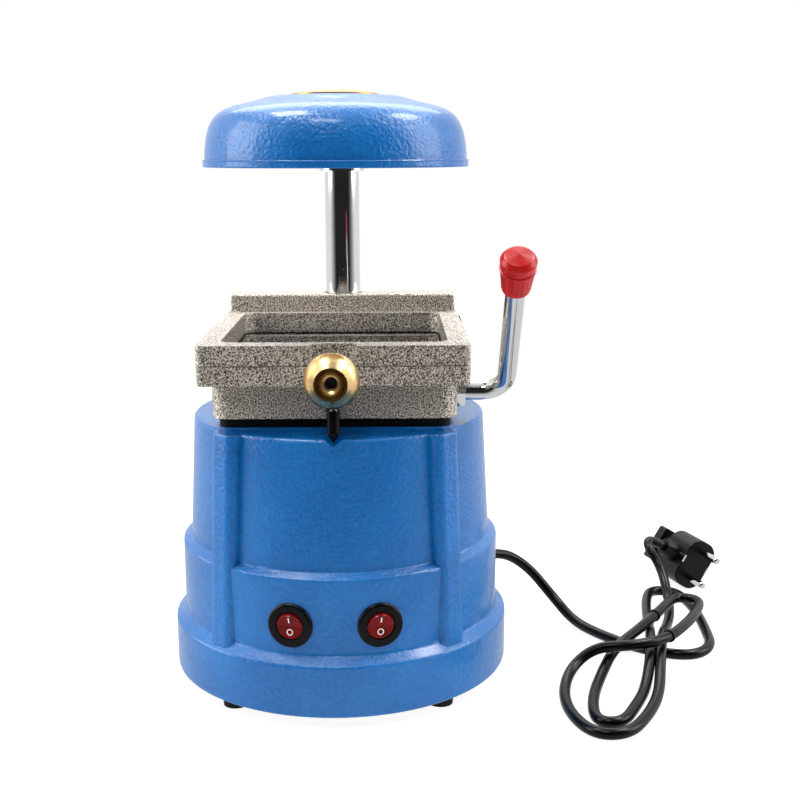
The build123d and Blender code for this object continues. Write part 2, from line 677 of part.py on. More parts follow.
# Cast lower frame: seal box, plate, rear slide bar and hinge ears
with BuildPart() as lower_frame:
    with BuildSketch(Plane.XY.offset(FRAME_BOTTOM)):
        RectangleRounded(SKIRT_BOX, SKIRT_BOX, SKIRT_BOX_CORNER)
    extrude(amount=SKIRT_BOX_H)
    plate_depth = FRAME_FRONT + BAR_FRONT + BAR_DEPTH / 2
    with BuildSketch(Plane.XY.offset(LOWER_PLATE_Z)):
        with Locations((0, plate_depth / 2 - FRAME_FRONT)):
            RectangleRounded(FRAME_W, plate_depth, FRAME_CORNER)
    extrude(amount=LOWER_T)
    with BuildSketch(Plane.XY.offset(LOWER_PLATE_Z)):
        with Locations((0, BAR_FRONT + BAR_DEPTH / 2)):
            RectangleRounded(BAR_W, BAR_DEPTH, 1.5)
    extrude(amount=BAR_TOP - LOWER_PLATE_Z)
    fillet(lower_frame.edges().group_by(Axis.Z)[-1], 1.2)
    # guide boss round the column, tied to the box by a web and flat in front above the plate
    with BuildSketch(Plane.XY.offset(FRAME_BOTTOM)):
        with Locations((0, POST_Y)):
            Circle(BOSS_R)
            Rectangle(WEB_W, POST_Y - BOX_HALF + WALL, align=(Align.CENTER, Align.MAX))
    extrude(amount=LOWER_TOP - FRAME_BOTTOM)
    with BuildSketch(Plane.XY.offset(LOWER_TOP)):
        with Locations((0, POST_Y)):
            Circle(BOSS_R)
        with Locations((0, BAR_FRONT)):
            Rectangle(2 * BOSS_R, 2 * BOSS_R, align=(Align.CENTER, Align.MAX), mode=Mode.SUBTRACT)
    extrude(amount=BAR_RISE - SLIDE_BOSS_TOP_DROP)
    # hinge ears at the back corners, rounded about the hinge axis
    for side in (-1, 1):
        with BuildSketch(Plane.YZ.offset(side * (FRAME_W / 2 - EAR_W / 2))):
            with Locations((HINGE_Y, HINGE_Z)):
                Circle(HINGE_R)
                Rectangle(HINGE_R + 1, HINGE_R, align=(Align.MIN, Align.MIN))
            with Locations((HINGE_Y - HINGE_R, LOWER_TOP)):
                Rectangle(2 * HINGE_R + 1, HINGE_Z - LOWER_TOP, align=(Align.MIN, Align.MIN))
        extrude(amount=EAR_W / 2, both=True)
    # window, and the narrower opening in the flange that presses on the gasket
    with BuildSketch(Plane.XY.offset(FRAME_BOTTOM + SEAL_FLANGE_T)):
        RectangleRounded(WINDOW, WINDOW, WINDOW_CORNER)
    extrude(amount=BAR_TOP, mode=Mode.SUBTRACT)
    with BuildSketch(Plane.XY.offset(FRAME_BOTTOM)):
        RectangleRounded(SEAL_OPENING, SEAL_OPENING, WINDOW_CORNER)
    extrude(amount=SEAL_FLANGE_T, mode=Mode.SUBTRACT)
    # bore for the slide bush
    with BuildSketch(Plane.XY.offset(FRAME_BOTTOM)):
        with Locations((0, POST_Y)):
            Circle(POST_R + RUN + BUSH_WALL + SEAT)
    extrude(amount=BAR_TOP, mode=Mode.SUBTRACT)
    # hinge pin bore through both ears
    with BuildSketch(Plane.YZ.offset(-FRAME_W / 2)):
        with Locations((HINGE_Y, HINGE_Z)):
            Circle(HINGE_PIN_R + SEAT)
    extrude(amount=FRAME_W, mode=Mode.SUBTRACT)
    # slot for the swing bolt's eye, and its cross bore
    with BuildSketch(Plane.YZ):
        with Locations((PIVOT_Y, PIVOT_Z)):
            Circle(EYE_R + LOOSE)
            Rectangle(FRAME_FRONT, 2 * (EYE_R + LOOSE), align=(Align.MAX, Align.CENTER))
            Rectangle(2 * (EYE_R + LOOSE), LOWER_T, align=(Align.CENTER, Align.MIN))
        with Locations((PIVOT_Y, PIVOT_Z)):
            Rectangle(FRAME_FRONT, LOWER_T, align=(Align.MAX, Align.MIN))
    extrude(amount=EYE_W / 2 + LOOSE, both=True, mode=Mode.SUBTRACT)
    with BuildSketch(Plane.YZ):
        with Locations((PIVOT_Y, PIVOT_Z)):
            Circle(PIVOT_PIN_R + SEAT)
    extrude(amount=PIVOT_PIN_L / 2, both=True, mode=Mode.SUBTRACT)
    # socket for the locating pin's spigot, and the lever's hole in the right wall
    with BuildSketch(Plane.XZ.offset(BOX_HALF)):
        with Locations((0, FRAME_BOTTOM + SEAL_FLANGE_T)):
            Circle(PIN_SPIGOT_R + SEAT)
    extrude(amount=-PIN_SPIGOT_SET, mode=Mode.SUBTRACT)
    with BuildSketch(Plane.YZ.offset(WINDOW / 2)):
        with Locations((-LEVER_Y, LEVER_Z)):
            Circle(LEVER_R + SEAT)
    extrude(amount=BOX_HALF - WINDOW / 2 + 1, mode=Mode.SUBTRACT)
lower_frame.part.label = "lower_frame"
export_step(lower_frame.part, "parts/lower_frame.step")

# Plain bush that slides on the column
with BuildPart() as slide_bush:
    with BuildSketch(Plane.XY.offset(FRAME_BOTTOM)):
        with Locations((0, POST_Y)):
            Circle(POST_R + RUN + BUSH_WALL)
            Circle(POST_R + RUN, mode=Mode.SUBTRACT)
    extrude(amount=BAR_TOP - SLIDE_BOSS_TOP_DROP - FRAME_BOTTOM)
slide_bush.part.label = "slide_bush"
export_step(slide_bush.part, "parts/slide_bush.step")

# Hinge pin with a head at each end
with BuildPart() as hinge_pin:
    with BuildSketch(Plane.YZ.offset(-FRAME_W / 2)):
        with Locations((HINGE_Y, HINGE_Z)):
            Circle(HINGE_PIN_R)
    extrude(amount=FRAME_W)
    for side in (-1, 1):
        with BuildSketch(Plane.YZ.offset(side * FRAME_W / 2)):
            with Locations((HINGE_Y, HINGE_Z)):
                Circle(HINGE_HEAD_R)
        extrude(amount=side * HINGE_HEAD_T)
    ends = hinge_pin.faces().filter_by(Axis.X).sort_by(Axis.X)
    fillet(ends[0].edges() + ends[-1].edges(), 0.9)
hinge_pin.part.label = "hinge_pin"
export_step(hinge_pin.part, "parts/hinge_pin.step")

# Cross pin of the swing bolt
with BuildPart() as bolt_pivot_pin:
    with BuildSketch(Plane.YZ):
        with Locations((PIVOT_Y, PIVOT_Z)):
            Circle(PIVOT_PIN_R)
    extrude(amount=PIVOT_PIN_L / 2 - SEAT, both=True)
bolt_pivot_pin.part.label = "bolt_pivot_pin"
export_step(bolt_pivot_pin.part, "parts/bolt_pivot_pin.step")

# Locating pin: a pointed peg on a spigot, which drops into the base's V notch
PIN_TOP = PIVOT_Z - KNOB_R - PIN_TOP_DROP
PIN_TIP = BASE_TOP - PIN_TIP_SINK
with BuildPart() as locating_pin:
    with BuildSketch(Plane.XZ.offset(PIN_Y)):
        with BuildLine():
            Polyline(
                (0, PIN_TIP),
                (PIN_TIP_R, PIN_TIP),
                (PIN_R, PIN_TIP + PIN_TIP_L),
                (PIN_R, PIN_TOP - 0.8),
                (PIN_R - 0.8, PIN_TOP),
                (0, PIN_TOP),
                close=True,
            )
        make_face()
    revolve(axis=Axis((0, -PIN_Y, 0), (0, 0, 1)))
    # flat on the back, where the spigot grows out
    with BuildSketch(Plane.XZ.offset(PIN_Y - PIN_FLAT)):
        Rectangle(4 * PIN_R, 4 * PIN_TOP)
    extrude(amount=-PIN_R, mode=Mode.SUBTRACT)
    with BuildSketch(Plane.XZ.offset(PIN_Y - PIN_FLAT)):
        with Locations((0, FRAME_BOTTOM + SEAL_FLANGE_T)):
            Circle(PIN_SPIGOT_R)
    extrude(amount=-(PIN_Y - PIN_FLAT - BOX_HALF + PIN_SPIGOT_SET - SEAT))
locating_pin.part.label = "locating_pin"
export_step(locating_pin.part, "parts/locating_pin.step")

# Bent lift lever, its jam nut and its grip
LEAN = radians(LEVER_LEAN)
ARM_DIR = Vector(0, -sin(LEAN), cos(LEAN))
LEVER_KNEE = Vector(LEVER_X, -LEVER_Y, LEVER_Z)
LEVER_END = LEVER_KNEE + ARM_DIR * LEVER_ARM
with BuildPart() as lift_lever:
    with BuildLine() as lever_path:
        FilletPolyline(
            (WINDOW / 2 + SEAT, -LEVER_Y, LEVER_Z),
            LEVER_KNEE,
            LEVER_END,
            radius=LEVER_BEND,
        )
    with BuildSketch(Plane(lever_path.line @ 0, z_dir=lever_path.line % 0)):
        Circle(LEVER_R)
    sweep()
lift_lever.part.label = "lift_lever"
export_step(lift_lever.part, "parts/lift_lever.step")

with BuildPart() as lever_nut:
    with BuildSketch(Plane.YZ.offset(BOX_HALF)):
        with Locations((-LEVER_Y, LEVER_Z)):
            RegularPolygon(NUT_FLATS / 2, 6, major_radius=False)
            Circle(LEVER_R + SEAT, mode=Mode.SUBTRACT)
    extrude(amount=NUT_T)
lever_nut.part.label = "lever_nut"
export_step(lever_nut.part, "parts/lever_nut.step")

GRIP_START = LEVER_END - ARM_DIR * (GRIP_L - GRIP_CAP)
grip_plane = Plane(GRIP_START, x_dir=(1, 0, 0), z_dir=ARM_DIR.cross(Vector(1, 0, 0)) * -1)
with BuildPart() as lever_grip:
    with BuildSketch(grip_plane):
        with BuildLine():
            skin = FilletPolyline(
                (LEVER_R + SEAT, 0),
                (GRIP_R_LOW, 0),
                (GRIP_R_TOP, GRIP_L - 3.0),
                (GRIP_R_TOP - 1.8, GRIP_L - 0.4),
                (0, GRIP_L + 1.2),
                radius=[0.8, 1.4, 2.0],
            )
            Polyline(
                skin @ 1,
                (0, GRIP_L - GRIP_CAP + SEAT),
                (LEVER_R + SEAT, GRIP_L - GRIP_CAP + SEAT),
                skin @ 0,
            )
        make_face()
    revolve(axis=Axis(GRIP_START, ARM_DIR))
lever_grip.part.label = "lever_grip"
export_step(lever_grip.part, "parts/lever_grip.step")

# ======================================================================
# Upper frame
# ======================================================================
with BuildPart() as upper_frame:
    rail_depth = FRAME_FRONT + HINGE_Y
    with BuildSketch(Plane.XY.offset(UPPER_Z)):
        with Locations((0, HINGE_Y - rail_depth / 2)):
            RectangleRounded(FRAME_W, rail_depth, FRAME_CORNER)
        with Locations((0, HINGE_Y)):
            Rectangle(FRAME_W, 2 * FRAME_CORNER, align=(Align.CENTER, Align.MAX))
    extrude(amount=UPPER_T)
    # full-width barrel round the hinge pin
    with BuildSketch(Plane.YZ.offset(-FRAME_W / 2)):
        with Locations((HINGE_Y, HINGE_Z)):
            Circle(HINGE_R)
    extrude(amount=FRAME_W)
    # back corners cut away for the lower frame's ears
    for side in (-1, 1):
        with BuildSketch(Plane.XY.offset(UPPER_Z)):
            with Locations((side * FRAME_W / 2, HINGE_Y)):
                Rectangle(2 * (EAR_W + LOOSE), 2 * (HINGE_R + LOOSE))
        extrude(amount=UPPER_T, mode=Mode.SUBTRACT)
    with BuildSketch(Plane.XY.offset(UPPER_Z)):
        RectangleRounded(WINDOW, WINDOW, WINDOW_CORNER)
    extrude(amount=UPPER_T, mode=Mode.SUBTRACT)
    # recess and open slot for the swing bolt
    with BuildSketch(Plane.XY.offset(UPPER_Z + LUG_FLOOR_T)):
        with Locations((0, -FRAME_FRONT)):
            RectangleRounded(LUG_RECESS_W, 2 * LUG_RECESS_D, 4)
    extrude(amount=UPPER_T, mode=Mode.SUBTRACT)
    with BuildSketch(Plane.XY.offset(UPPER_Z)):
        with Locations((0, PIVOT_Y)):
            Circle(EYE_W / 2 + LOOSE)
            Rectangle(EYE_W + 2 * LOOSE, FRAME_FRONT, align=(Align.CENTER, Align.MAX))
    extrude(amount=UPPER_T, mode=Mode.SUBTRACT)
    # bore of the hinge
    with BuildSketch(Plane.YZ.offset(-FRAME_W / 2)):
        with Locations((HINGE_Y, HINGE_Z)):
            Circle(HINGE_PIN_R + RUN)
    extrude(amount=FRAME_W, mode=Mode.SUBTRACT)
upper_frame.part.label = "upper_frame"
export_step(upper_frame.part, "parts/upper_frame.step")

# ======================================================================
# Swing bolt, washer and brass knob
# ======================================================================
BOLT_L = KNOB_S + KNOB_L - KNOB_DISH_DEPTH - 3.0
with BuildPart() as swing_bolt:
    with BuildSketch(Plane.YZ):
        with Locations((PIVOT_Y, PIVOT_Z)):
            Circle(EYE_R)
    extrude(amount=EYE_W / 2, both=True)
    with BuildSketch(BOLT_PLANE):
        Rectangle(BOLT_R, BOLT_L, align=(Align.MIN, Align.MIN))
    revolve(axis=BOLT_AXIS)
    with BuildSketch(Plane.YZ):
        with Locations((PIVOT_Y, PIVOT_Z)):
            Circle(PIVOT_PIN_R + RUN)
    extrude(amount=EYE_W, both=True, mode=Mode.SUBTRACT)
swing_bolt.part.label = "swing_bolt"
export_step(swing_bolt.part, "parts/swing_bolt.step")

with BuildPart() as clamp_washer:
    with BuildSketch(BOLT_PLANE):
        with Locations((BOLT_R + RUN, WASHER_S)):
            Rectangle(WASHER_R - BOLT_R - RUN, WASHER_T, align=(Align.MIN, Align.MIN))
    revolve(axis=BOLT_AXIS)
clamp_washer.part.label = "clamp_washer"
export_step(clamp_washer.part, "parts/clamp_washer.step")

# Turned knob: double flange, full belly and a dished nose
with BuildPart() as clamp_knob:
    with BuildSketch(BOLT_PLANE):
        with BuildLine():
            steps = Polyline(
                (BOLT_R + RUN, KNOB_S),
                (KNOB_FLANGE_R, KNOB_S),
                (KNOB_FLANGE_R, KNOB_S + 1.6),
                (KNOB_FLANGE_R - 0.7, KNOB_S + 1.9),
                (KNOB_FLANGE_R, KNOB_S + 2.3),
            )
            belly = Spline(
                steps @ 1,
                (KNOB_R, KNOB_S + 5.2),
                (KNOB_R - 2.0, KNOB_S + 10.5),
                (KNOB_NOSE_R, KNOB_S + KNOB_L),
                tangents=[(1, 0.6), (-0.55, 1)],
            )
            dish = ThreePointArc(
                (KNOB_DISH_R, KNOB_S + KNOB_L),
                (KNOB_DISH_R - 1.4, KNOB_S + KNOB_L - 3.6),
                (BOLT_R + RUN, KNOB_S + KNOB_L - KNOB_DISH_DEPTH),
            )
            Line(belly @ 1, dish @ 0)
            Line(dish @ 1, steps @ 0)
        make_face()
    revolve(axis=BOLT_AXIS)
clamp_knob.part.label = "clamp_knob"
export_step(clamp_knob.part, "parts/clamp_knob.step")

# ======================================================================
# Heater head, which swings about the column
# ======================================================================


def dome_outline(wall):
    """Half section of the dome from its rim to its crown, moved in by a wall thickness."""
    start = (DOME_R - wall, RIM_Z)
    waist = (DOME_R - 1.2 - wall, RIM_Z + 0.40 * DOME_H)
    shoulder = (DOME_R - 7.2 - 0.8 * wall, RIM_Z + 0.72 * DOME_H - 0.5 * wall)
    brow = (DOME_R - 24.0 - 0.3 * wall, RIM_Z + 0.885 * DOME_H - wall)
    crown = (0, DOME_TOP - wall)
    return Spline(start, waist, shoulder, brow, crown, tangents=[(-0.02, 1), (-1, 0)])


HUB_BOTTOM = REFLECTOR_Z + REFLECTOR_T
BRIDGE_TOP = RIM_Z + HEAD_BOSS_H
BRIDGE_W = 22.0
BRIDGE_REACH = 20.0
WIRE_SLOT = 8.0

# Boss round the column with the bridge that ties it to the back of the dome
with BuildPart() as column_boss:
    with BuildSketch(Plane.XY.offset(RIM_Z)):
        with Locations((0, POST_Y)):
            Circle(HEAD_BOSS_R)
            Rectangle(BRIDGE_W, POST_Y - DOME_R + BRIDGE_REACH, align=(Align.CENTER, Align.MAX))
    extrude(amount=HEAD_BOSS_H)
    fillet(column_boss.faces().sort_by(Axis.Z)[-1].edges(), 1.5)

# Spun dome with a rolled lip, a hub inside and the boss behind
with BuildPart() as heater_dome:
    with BuildSketch(Plane.XZ):
        with BuildLine():
            shell = dome_outline(0)
            Line(shell @ 1, (0, RIM_Z))
            Line((0, RIM_Z), shell @ 0)
        make_face()
    revolve(axis=Axis.Z)
    # rolled lip at the rim
    with BuildSketch(Plane.XY.offset(RIM_Z)):
        Circle(RIM_R)
    extrude(amount=RIM_LIP_H)
    fillet(heater_dome.edges().filter_by(GeomType.CIRCLE).group_by(SortBy.RADIUS)[-1], 0.8)
    # boss round the column
    add(column_boss.part)
    # hollow inside
    with BuildSketch(Plane.XZ):
        with BuildLine():
            shell = dome_outline(DOME_WALL)
            Line(shell @ 1, (0, RIM_Z))
            Line((0, RIM_Z), shell @ 0)
        make_face()
    revolve(axis=Axis.Z, mode=Mode.SUBTRACT)
    # hub that the element hangs from
    with BuildSketch(Plane.XY.offset(HUB_BOTTOM)):
        Circle(HUB_R)
    extrude(amount=DOME_TOP - DOME_WALL / 2 - HUB_BOTTOM)
    with BuildSketch(Plane.XY.offset(HUB_BOTTOM)):
        Circle(ELEMENT_BOLT_R + SEAT)
    extrude(amount=10, mode=Mode.SUBTRACT)
    # bearing bore, wire chamber over it and the slot into the dome
    with BuildSketch(Plane.XY.offset(RIM_Z)):
        with Locations((0, POST_Y)):
            Circle(POST_R + RUN + BUSH_WALL + SEAT)
    extrude(amount=HEAD_BUSH_L, mode=Mode.SUBTRACT)
    with BuildSketch(Plane.XY.offset(RIM_Z)):
        with Locations((0, POST_Y)):
            Circle(POST_R + RUN)
    extrude(amount=POST_TOP + RUN - RIM_Z, mode=Mode.SUBTRACT)
    with BuildSketch(Plane.XY.offset(POST_TOP)):
        with Locations((0, POST_Y)):
            Circle(POST_R - 2 * POST_WALL)
            Rectangle(WIRE_SLOT, POST_Y - DOME_R + 12, align=(Align.CENTER, Align.MAX))
    extrude(amount=BRIDGE_TOP - DOME_WALL - POST_TOP, mode=Mode.SUBTRACT)
heater_dome.part.label = "heater_dome"
export_step(heater_dome.part, "parts/heater_dome.step")

# Flanged bush pressed into the boss, which turns on the column
with BuildPart() as head_bush:
    with BuildSketch(Plane.XY.offset(HEAD_BUSH_Z)):
        with Locations((0, POST_Y)):
            Circle(HEAD_BUSH_FLANGE_R)
    extrude(amount=HEAD_BUSH_FLANGE_H)
    with BuildSketch(Plane.XY.offset(RIM_Z)):
        with Locations((0, POST_Y)):
            Circle(POST_R + RUN + BUSH_WALL)
    extrude(amount=HEAD_BUSH_L - SEAT)
    with BuildSketch(Plane.XY.offset(HEAD_BUSH_Z)):
        with Locations((0, POST_Y)):
            Circle(POST_R + RUN)
    extrude(amount=HEAD_BUSH_FLANGE_H + HEAD_BUSH_L, mode=Mode.SUBTRACT)
head_bush.part.label = "head_bush"
export_step(head_bush.part, "parts/head_bush.step")

# Spun reflector: flat centre and a cone that opens downwards
with BuildPart() as reflector:
    with BuildSketch(Plane.XZ):
        with BuildLine():
            top = FilletPolyline(
                (ELEMENT_BOLT_R + SEAT, REFLECTOR_Z + REFLECTOR_T),
                (REFLECTOR_FLAT_R, REFLECTOR_Z + REFLECTOR_T),
                (REFLECTOR_R, ELEMENT_Z),
                radius=4,
            )
            low = FilletPolyline(
                (ELEMENT_BOLT_R + SEAT, REFLECTOR_Z),
                (REFLECTOR_FLAT_R - 0.5 * REFLECTOR_T, REFLECTOR_Z),
                (REFLECTOR_R - 1.1 * REFLECTOR_T, ELEMENT_Z),
                radius=3,
            )
            Line(top @ 0, low @ 0)
            Line(top @ 1, low @ 1)
        make_face()
    revolve(axis=Axis.Z)
    with BuildSketch(Plane.XY.offset(REFLECTOR_Z)):
        with Locations((0, ELEMENT_R - 22)):
            Circle(LEAD_R + 2)
    extrude(amount=REFLECTOR_T, mode=Mode.SUBTRACT)
reflector.part.label = "reflector"
export_step(reflector.part, "parts/reflector.step")

# Ceramic element with ring grooves on its underside
with BuildPart() as ceramic_element:
    with BuildSketch(Plane.XY.offset(ELEMENT_Z)):
        Circle(ELEMENT_R)
        Circle(ELEMENT_BOLT_R + SEAT, mode=Mode.SUBTRACT)
    extrude(amount=ELEMENT_T)
    with BuildSketch(Plane.XY.offset(ELEMENT_Z)):
        for ring in reversed(COIL_RINGS):
            Circle(ring + COIL_R + LOOSE)
            Circle(ring - COIL_R - LOOSE, mode=Mode.SUBTRACT)
        with Locations((0, (COIL_RINGS[0] + COIL_RINGS[-1]) / 2)):
            Rectangle(2 * (COIL_R + LOOSE), COIL_RINGS[-1] - COIL_RINGS[0])
    extrude(amount=2 * COIL_R + LOOSE, mode=Mode.SUBTRACT)
    with BuildSketch(Plane.XY.offset(ELEMENT_Z)):
        with Locations((0, ELEMENT_R - 22)):
            Circle(LEAD_R + SEAT)
    extrude(amount=ELEMENT_T, mode=Mode.SUBTRACT)
ceramic_element.part.label = "ceramic_element"
export_step(ceramic_element.part, "parts/ceramic_element.step")

# Heating ribbon: rings in the grooves, joined by a feed bar
with BuildPart() as heating_coil:
    with BuildSketch(Plane.XY.offset(ELEMENT_Z + LOOSE)):
        for ring in reversed(COIL_RINGS):
            Circle(ring + COIL_R)
            Circle(ring - COIL_R, mode=Mode.SUBTRACT)
        with Locations((0, (COIL_RINGS[0] + COIL_RINGS[-1]) / 2)):
            Rectangle(2 * (COIL_R - LOOSE), COIL_RINGS[-1] - COIL_RINGS[0])
    extrude(amount=2 * COIL_R)
heating_coil.part.label = "heating_coil"
export_step(heating_coil.part, "parts/heating_coil.step")

# Spacer bead and bolt that hang the element under the hub
with BuildPart() as element_spacer:
    with BuildSketch(Plane.XY.offset(ELEMENT_TOP)):
        Circle(SPACER_R)
        Circle(ELEMENT_BOLT_R + SEAT, mode=Mode.SUBTRACT)
    extrude(amount=SPACER_H)
element_spacer.part.label = "element_spacer"
export_step(element_spacer.part, "parts/element_spacer.step")

with BuildPart() as element_bolt:
    with BuildSketch(Plane.XY.offset(ELEMENT_Z - 3)):
        RegularPolygon(4, 6, major_radius=False)
    extrude(amount=3)
    with BuildSketch(Plane.XY.offset(ELEMENT_Z)):
        Circle(ELEMENT_BOLT_R)
    extrude(amount=HUB_BOTTOM + 9 - ELEMENT_Z)
element_bolt.part.label = "element_bolt"
export_step(element_bolt.part, "parts/element_bolt.step")

# Wire guard: a ring and bars on four legs that stand on the element's face
GUARD_Z = ELEMENT_Z - GUARD_DROP
with BuildPart() as element_guard:
    with BuildSketch(Plane.XY.offset(GUARD_Z - GUARD_RING_T / 2)):
        Circle(GUARD_RING_R + GUARD_RING_W / 2)
        Circle(GUARD_RING_R - GUARD_RING_W / 2, mode=Mode.SUBTRACT)
    extrude(amount=GUARD_RING_T)
    for offset in GUARD_BARS:
        half = (GUARD_RING_R**2 - offset**2) ** 0.5
        with BuildSketch(Plane.YZ.offset(-half)):
            with Locations((offset, GUARD_Z)):
                Circle(GUARD_WIRE_R)
        extrude(amount=2 * half)
    with BuildSketch(Plane.XY.offset(GUARD_Z)):
        with PolarLocations(GUARD_RING_R, 4, start_angle=45):
            Circle(GUARD_LEG_R)
    extrude(amount=GUARD_DROP)
element_guard.part.label = "element_guard"
export_step(element_guard.part, "parts/element_guard.step")

# Blank badge laid on the crown, following its curve
with BuildPart() as crown_badge:
    edge_top = DOME_TOP - BADGE_DROP + BADGE_T
    lens_r = (BADGE_R**2 + (DOME_TOP + BADGE_RISE - edge_top) ** 2) / (2 * (DOME_TOP + BADGE_RISE - edge_top))
    half_turn = asin(BADGE_R / lens_r) / 2
    with BuildSketch(Plane.XZ):
        with BuildLine():
            ThreePointArc(
                (0, DOME_TOP + BADGE_RISE),
                (lens_r * sin(half_turn), DOME_TOP + BADGE_RISE - lens_r * (1 - cos(half_turn))),
                (BADGE_R, edge_top),
            )
            Polyline(
                (BADGE_R, edge_top),
                (BADGE_R, edge_top - 2 * BADGE_RISE),
                (0, edge_top - 2 * BADGE_RISE),
                (0, DOME_TOP + BADGE_RISE),
            )
        make_face()
    revolve(axis=Axis.Z)
    with BuildSketch(Plane.XZ):
        with BuildLine():
            shell = dome_outline(0)
            Line(shell @ 1, (0, RIM_Z))
            Line((0, RIM_Z), shell @ 0)
        make_face()
    revolve(axis=Axis.Z, mode=Mode.SUBTRACT)
crown_badge.part.label = "crown_badge"
export_step(crown_badge.part, "parts/crown_badge.step")

# Heater wires: one lead up the column, one in the head
LEAD_SPLIT = RIM_Z
with BuildPart() as column_lead:
    with BuildLine() as lead_path:
        FilletPolyline(
            (0, TERMINAL_Y, BOTTOM_TOP + TERMINAL_BLOCK[2]),
            (0, TERMINAL_Y, WIRE_HOLE_Z),
            (0, POST_Y, WIRE_HOLE_Z),
            (0, POST_Y, LEAD_SPLIT - LOOSE),
            radius=[9.0, 9.0],
        )
    with BuildSketch(Plane(lead_path.line @ 0, z_dir=lead_path.line % 0)):
        Circle(LEAD_R)
    sweep()
column_lead.part.label = "column_lead"
export_step(column_lead.part, "parts/column_lead.step")

LEAD_HIGH = POST_TOP + (BRIDGE_TOP - DOME_WALL - POST_TOP) / 2
with BuildPart() as element_lead:
    with BuildLine() as lead_path:
        FilletPolyline(
            (0, POST_Y, LEAD_SPLIT),
            (0, POST_Y, LEAD_HIGH),
            (0, ELEMENT_R - 22, LEAD_HIGH),
            (0, ELEMENT_R - 22, ELEMENT_Z + 2 * (COIL_R + LOOSE)),
            radius=[3.5, 3.5],
        )
    with BuildSketch(Plane(lead_path.line @ 0, z_dir=lead_path.line % 0)):
        Circle(LEAD_R)
    sweep()
element_lead.part.label = "element_lead"
export_step(element_lead.part, "parts/element_lead.step")

# ======================================================================
# Rocker switches
# ======================================================================

for switch_name, rocker_name, angle in (
    ("switch_left", "rocker_left", SWITCH_ANGLES[0]),
    ("switch_right", "rocker_right", SWITCH_ANGLES[1]),
):
    face = radial_plane(angle, MID_R - SPOT_FACE, SWITCH_Z)
    # case: bezel, barrel behind the wall and three blades
    with BuildPart() as switch_case:
        with BuildSketch(face):
            Circle(BEZEL_R)
        extrude(amount=BEZEL_T)
        fillet(switch_case.faces().sort_by(Axis(face.origin, face.z_dir))[-1].edges(), 1.4)
        with BuildSketch(face):
            Circle(SWITCH_BARREL_R)
        extrude(amount=-SWITCH_BARREL_L)
        with BuildSketch(face.offset(-SWITCH_BARREL_L)):
            with GridLocations(6, 1, 3, 1):
                Rectangle(BLADE[0], BLADE[1])
        extrude(amount=-BLADE[2])
        # round pocket for the rocker, and its two pivot holes
        with BuildSketch(face.offset(BEZEL_T)):
            Circle(ROCKER_R + ROCKER_GAP)
        extrude(amount=-(BEZEL_T + ROCKER_R + 1), mode=Mode.SUBTRACT)
        with BuildSketch(Plane(face.origin, x_dir=face.y_dir, z_dir=face.x_dir)):
            Circle(ROCKER_PIVOT_R + RUN)
        extrude(amount=ROCKER_R + 1.6, both=True, mode=Mode.SUBTRACT)
    switch_case.part.label = switch_name
    export_step(switch_case.part, f"parts/{switch_name}.step")

    # rocker: a ball whose front is cut to a shallow V, tilted to its off side
    lean = radians(ROCKER_TILT)
    tilted = Plane(face.origin, x_dir=face.x_dir, z_dir=face.z_dir * cos(lean) - face.y_dir * sin(lean))
    with BuildPart() as rocker:
        with BuildSketch(Plane(tilted.origin, x_dir=tilted.x_dir, z_dir=tilted.y_dir)):
            with BuildLine():
                ThreePointArc((0, ROCKER_R), (ROCKER_R, 0), (0, -ROCKER_R))
                Line((0, ROCKER_R), (0, -ROCKER_R))
            make_face()
        revolve(axis=Axis(tilted.origin, tilted.z_dir))
        with BuildSketch(Plane(tilted.origin, x_dir=tilted.y_dir, z_dir=tilted.x_dir)):
            with BuildLine():
                rise = ROCKER_VALLEY + 2 * ROCKER_R * tan(radians(ROCKER_TILT))
                Polyline(
                    (0, ROCKER_VALLEY),
                    (2 * ROCKER_R, rise),
                    (2 * ROCKER_R, 3 * ROCKER_R),
                    (-2 * ROCKER_R, 3 * ROCKER_R),
                    (-2 * ROCKER_R, rise),
                    close=True,
                )
            make_face()
        extrude(amount=2 * ROCKER_R, both=True, mode=Mode.SUBTRACT)
        with BuildSketch(Plane(tilted.origin, x_dir=tilted.y_dir, z_dir=tilted.x_dir)):
            Circle(ROCKER_PIVOT_R)
        extrude(amount=ROCKER_R + 1.2, both=True)
    rocker.part.label = rocker_name
    export_step(rocker.part, f"parts/{rocker_name}.step")

# ======================================================================
# Terminal block, cord gland, mains lead and plug
# ======================================================================
with BuildPart() as terminal_block:
    with BuildSketch(Plane.XY.offset(BOTTOM_TOP)):
        with Locations((0, TERMINAL_Y)):
            Rectangle(TERMINAL_BLOCK[0], TERMINAL_BLOCK[1])
    extrude(amount=TERMINAL_BLOCK[2])
    with BuildSketch(Plane.XZ.offset(-(TERMINAL_Y - TERMINAL_BLOCK[1] / 2))):
        with Locations((0, BOTTOM_TOP + TERMINAL_BLOCK[2] / 2)):
            with GridLocations(9, 1, 3, 1):
                Circle(2)
    extrude(amount=-TERMINAL_BLOCK[1] / 3, mode=Mode.SUBTRACT)
terminal_block.part.label = "terminal_block"
export_step(terminal_block.part, "parts/terminal_block.step")

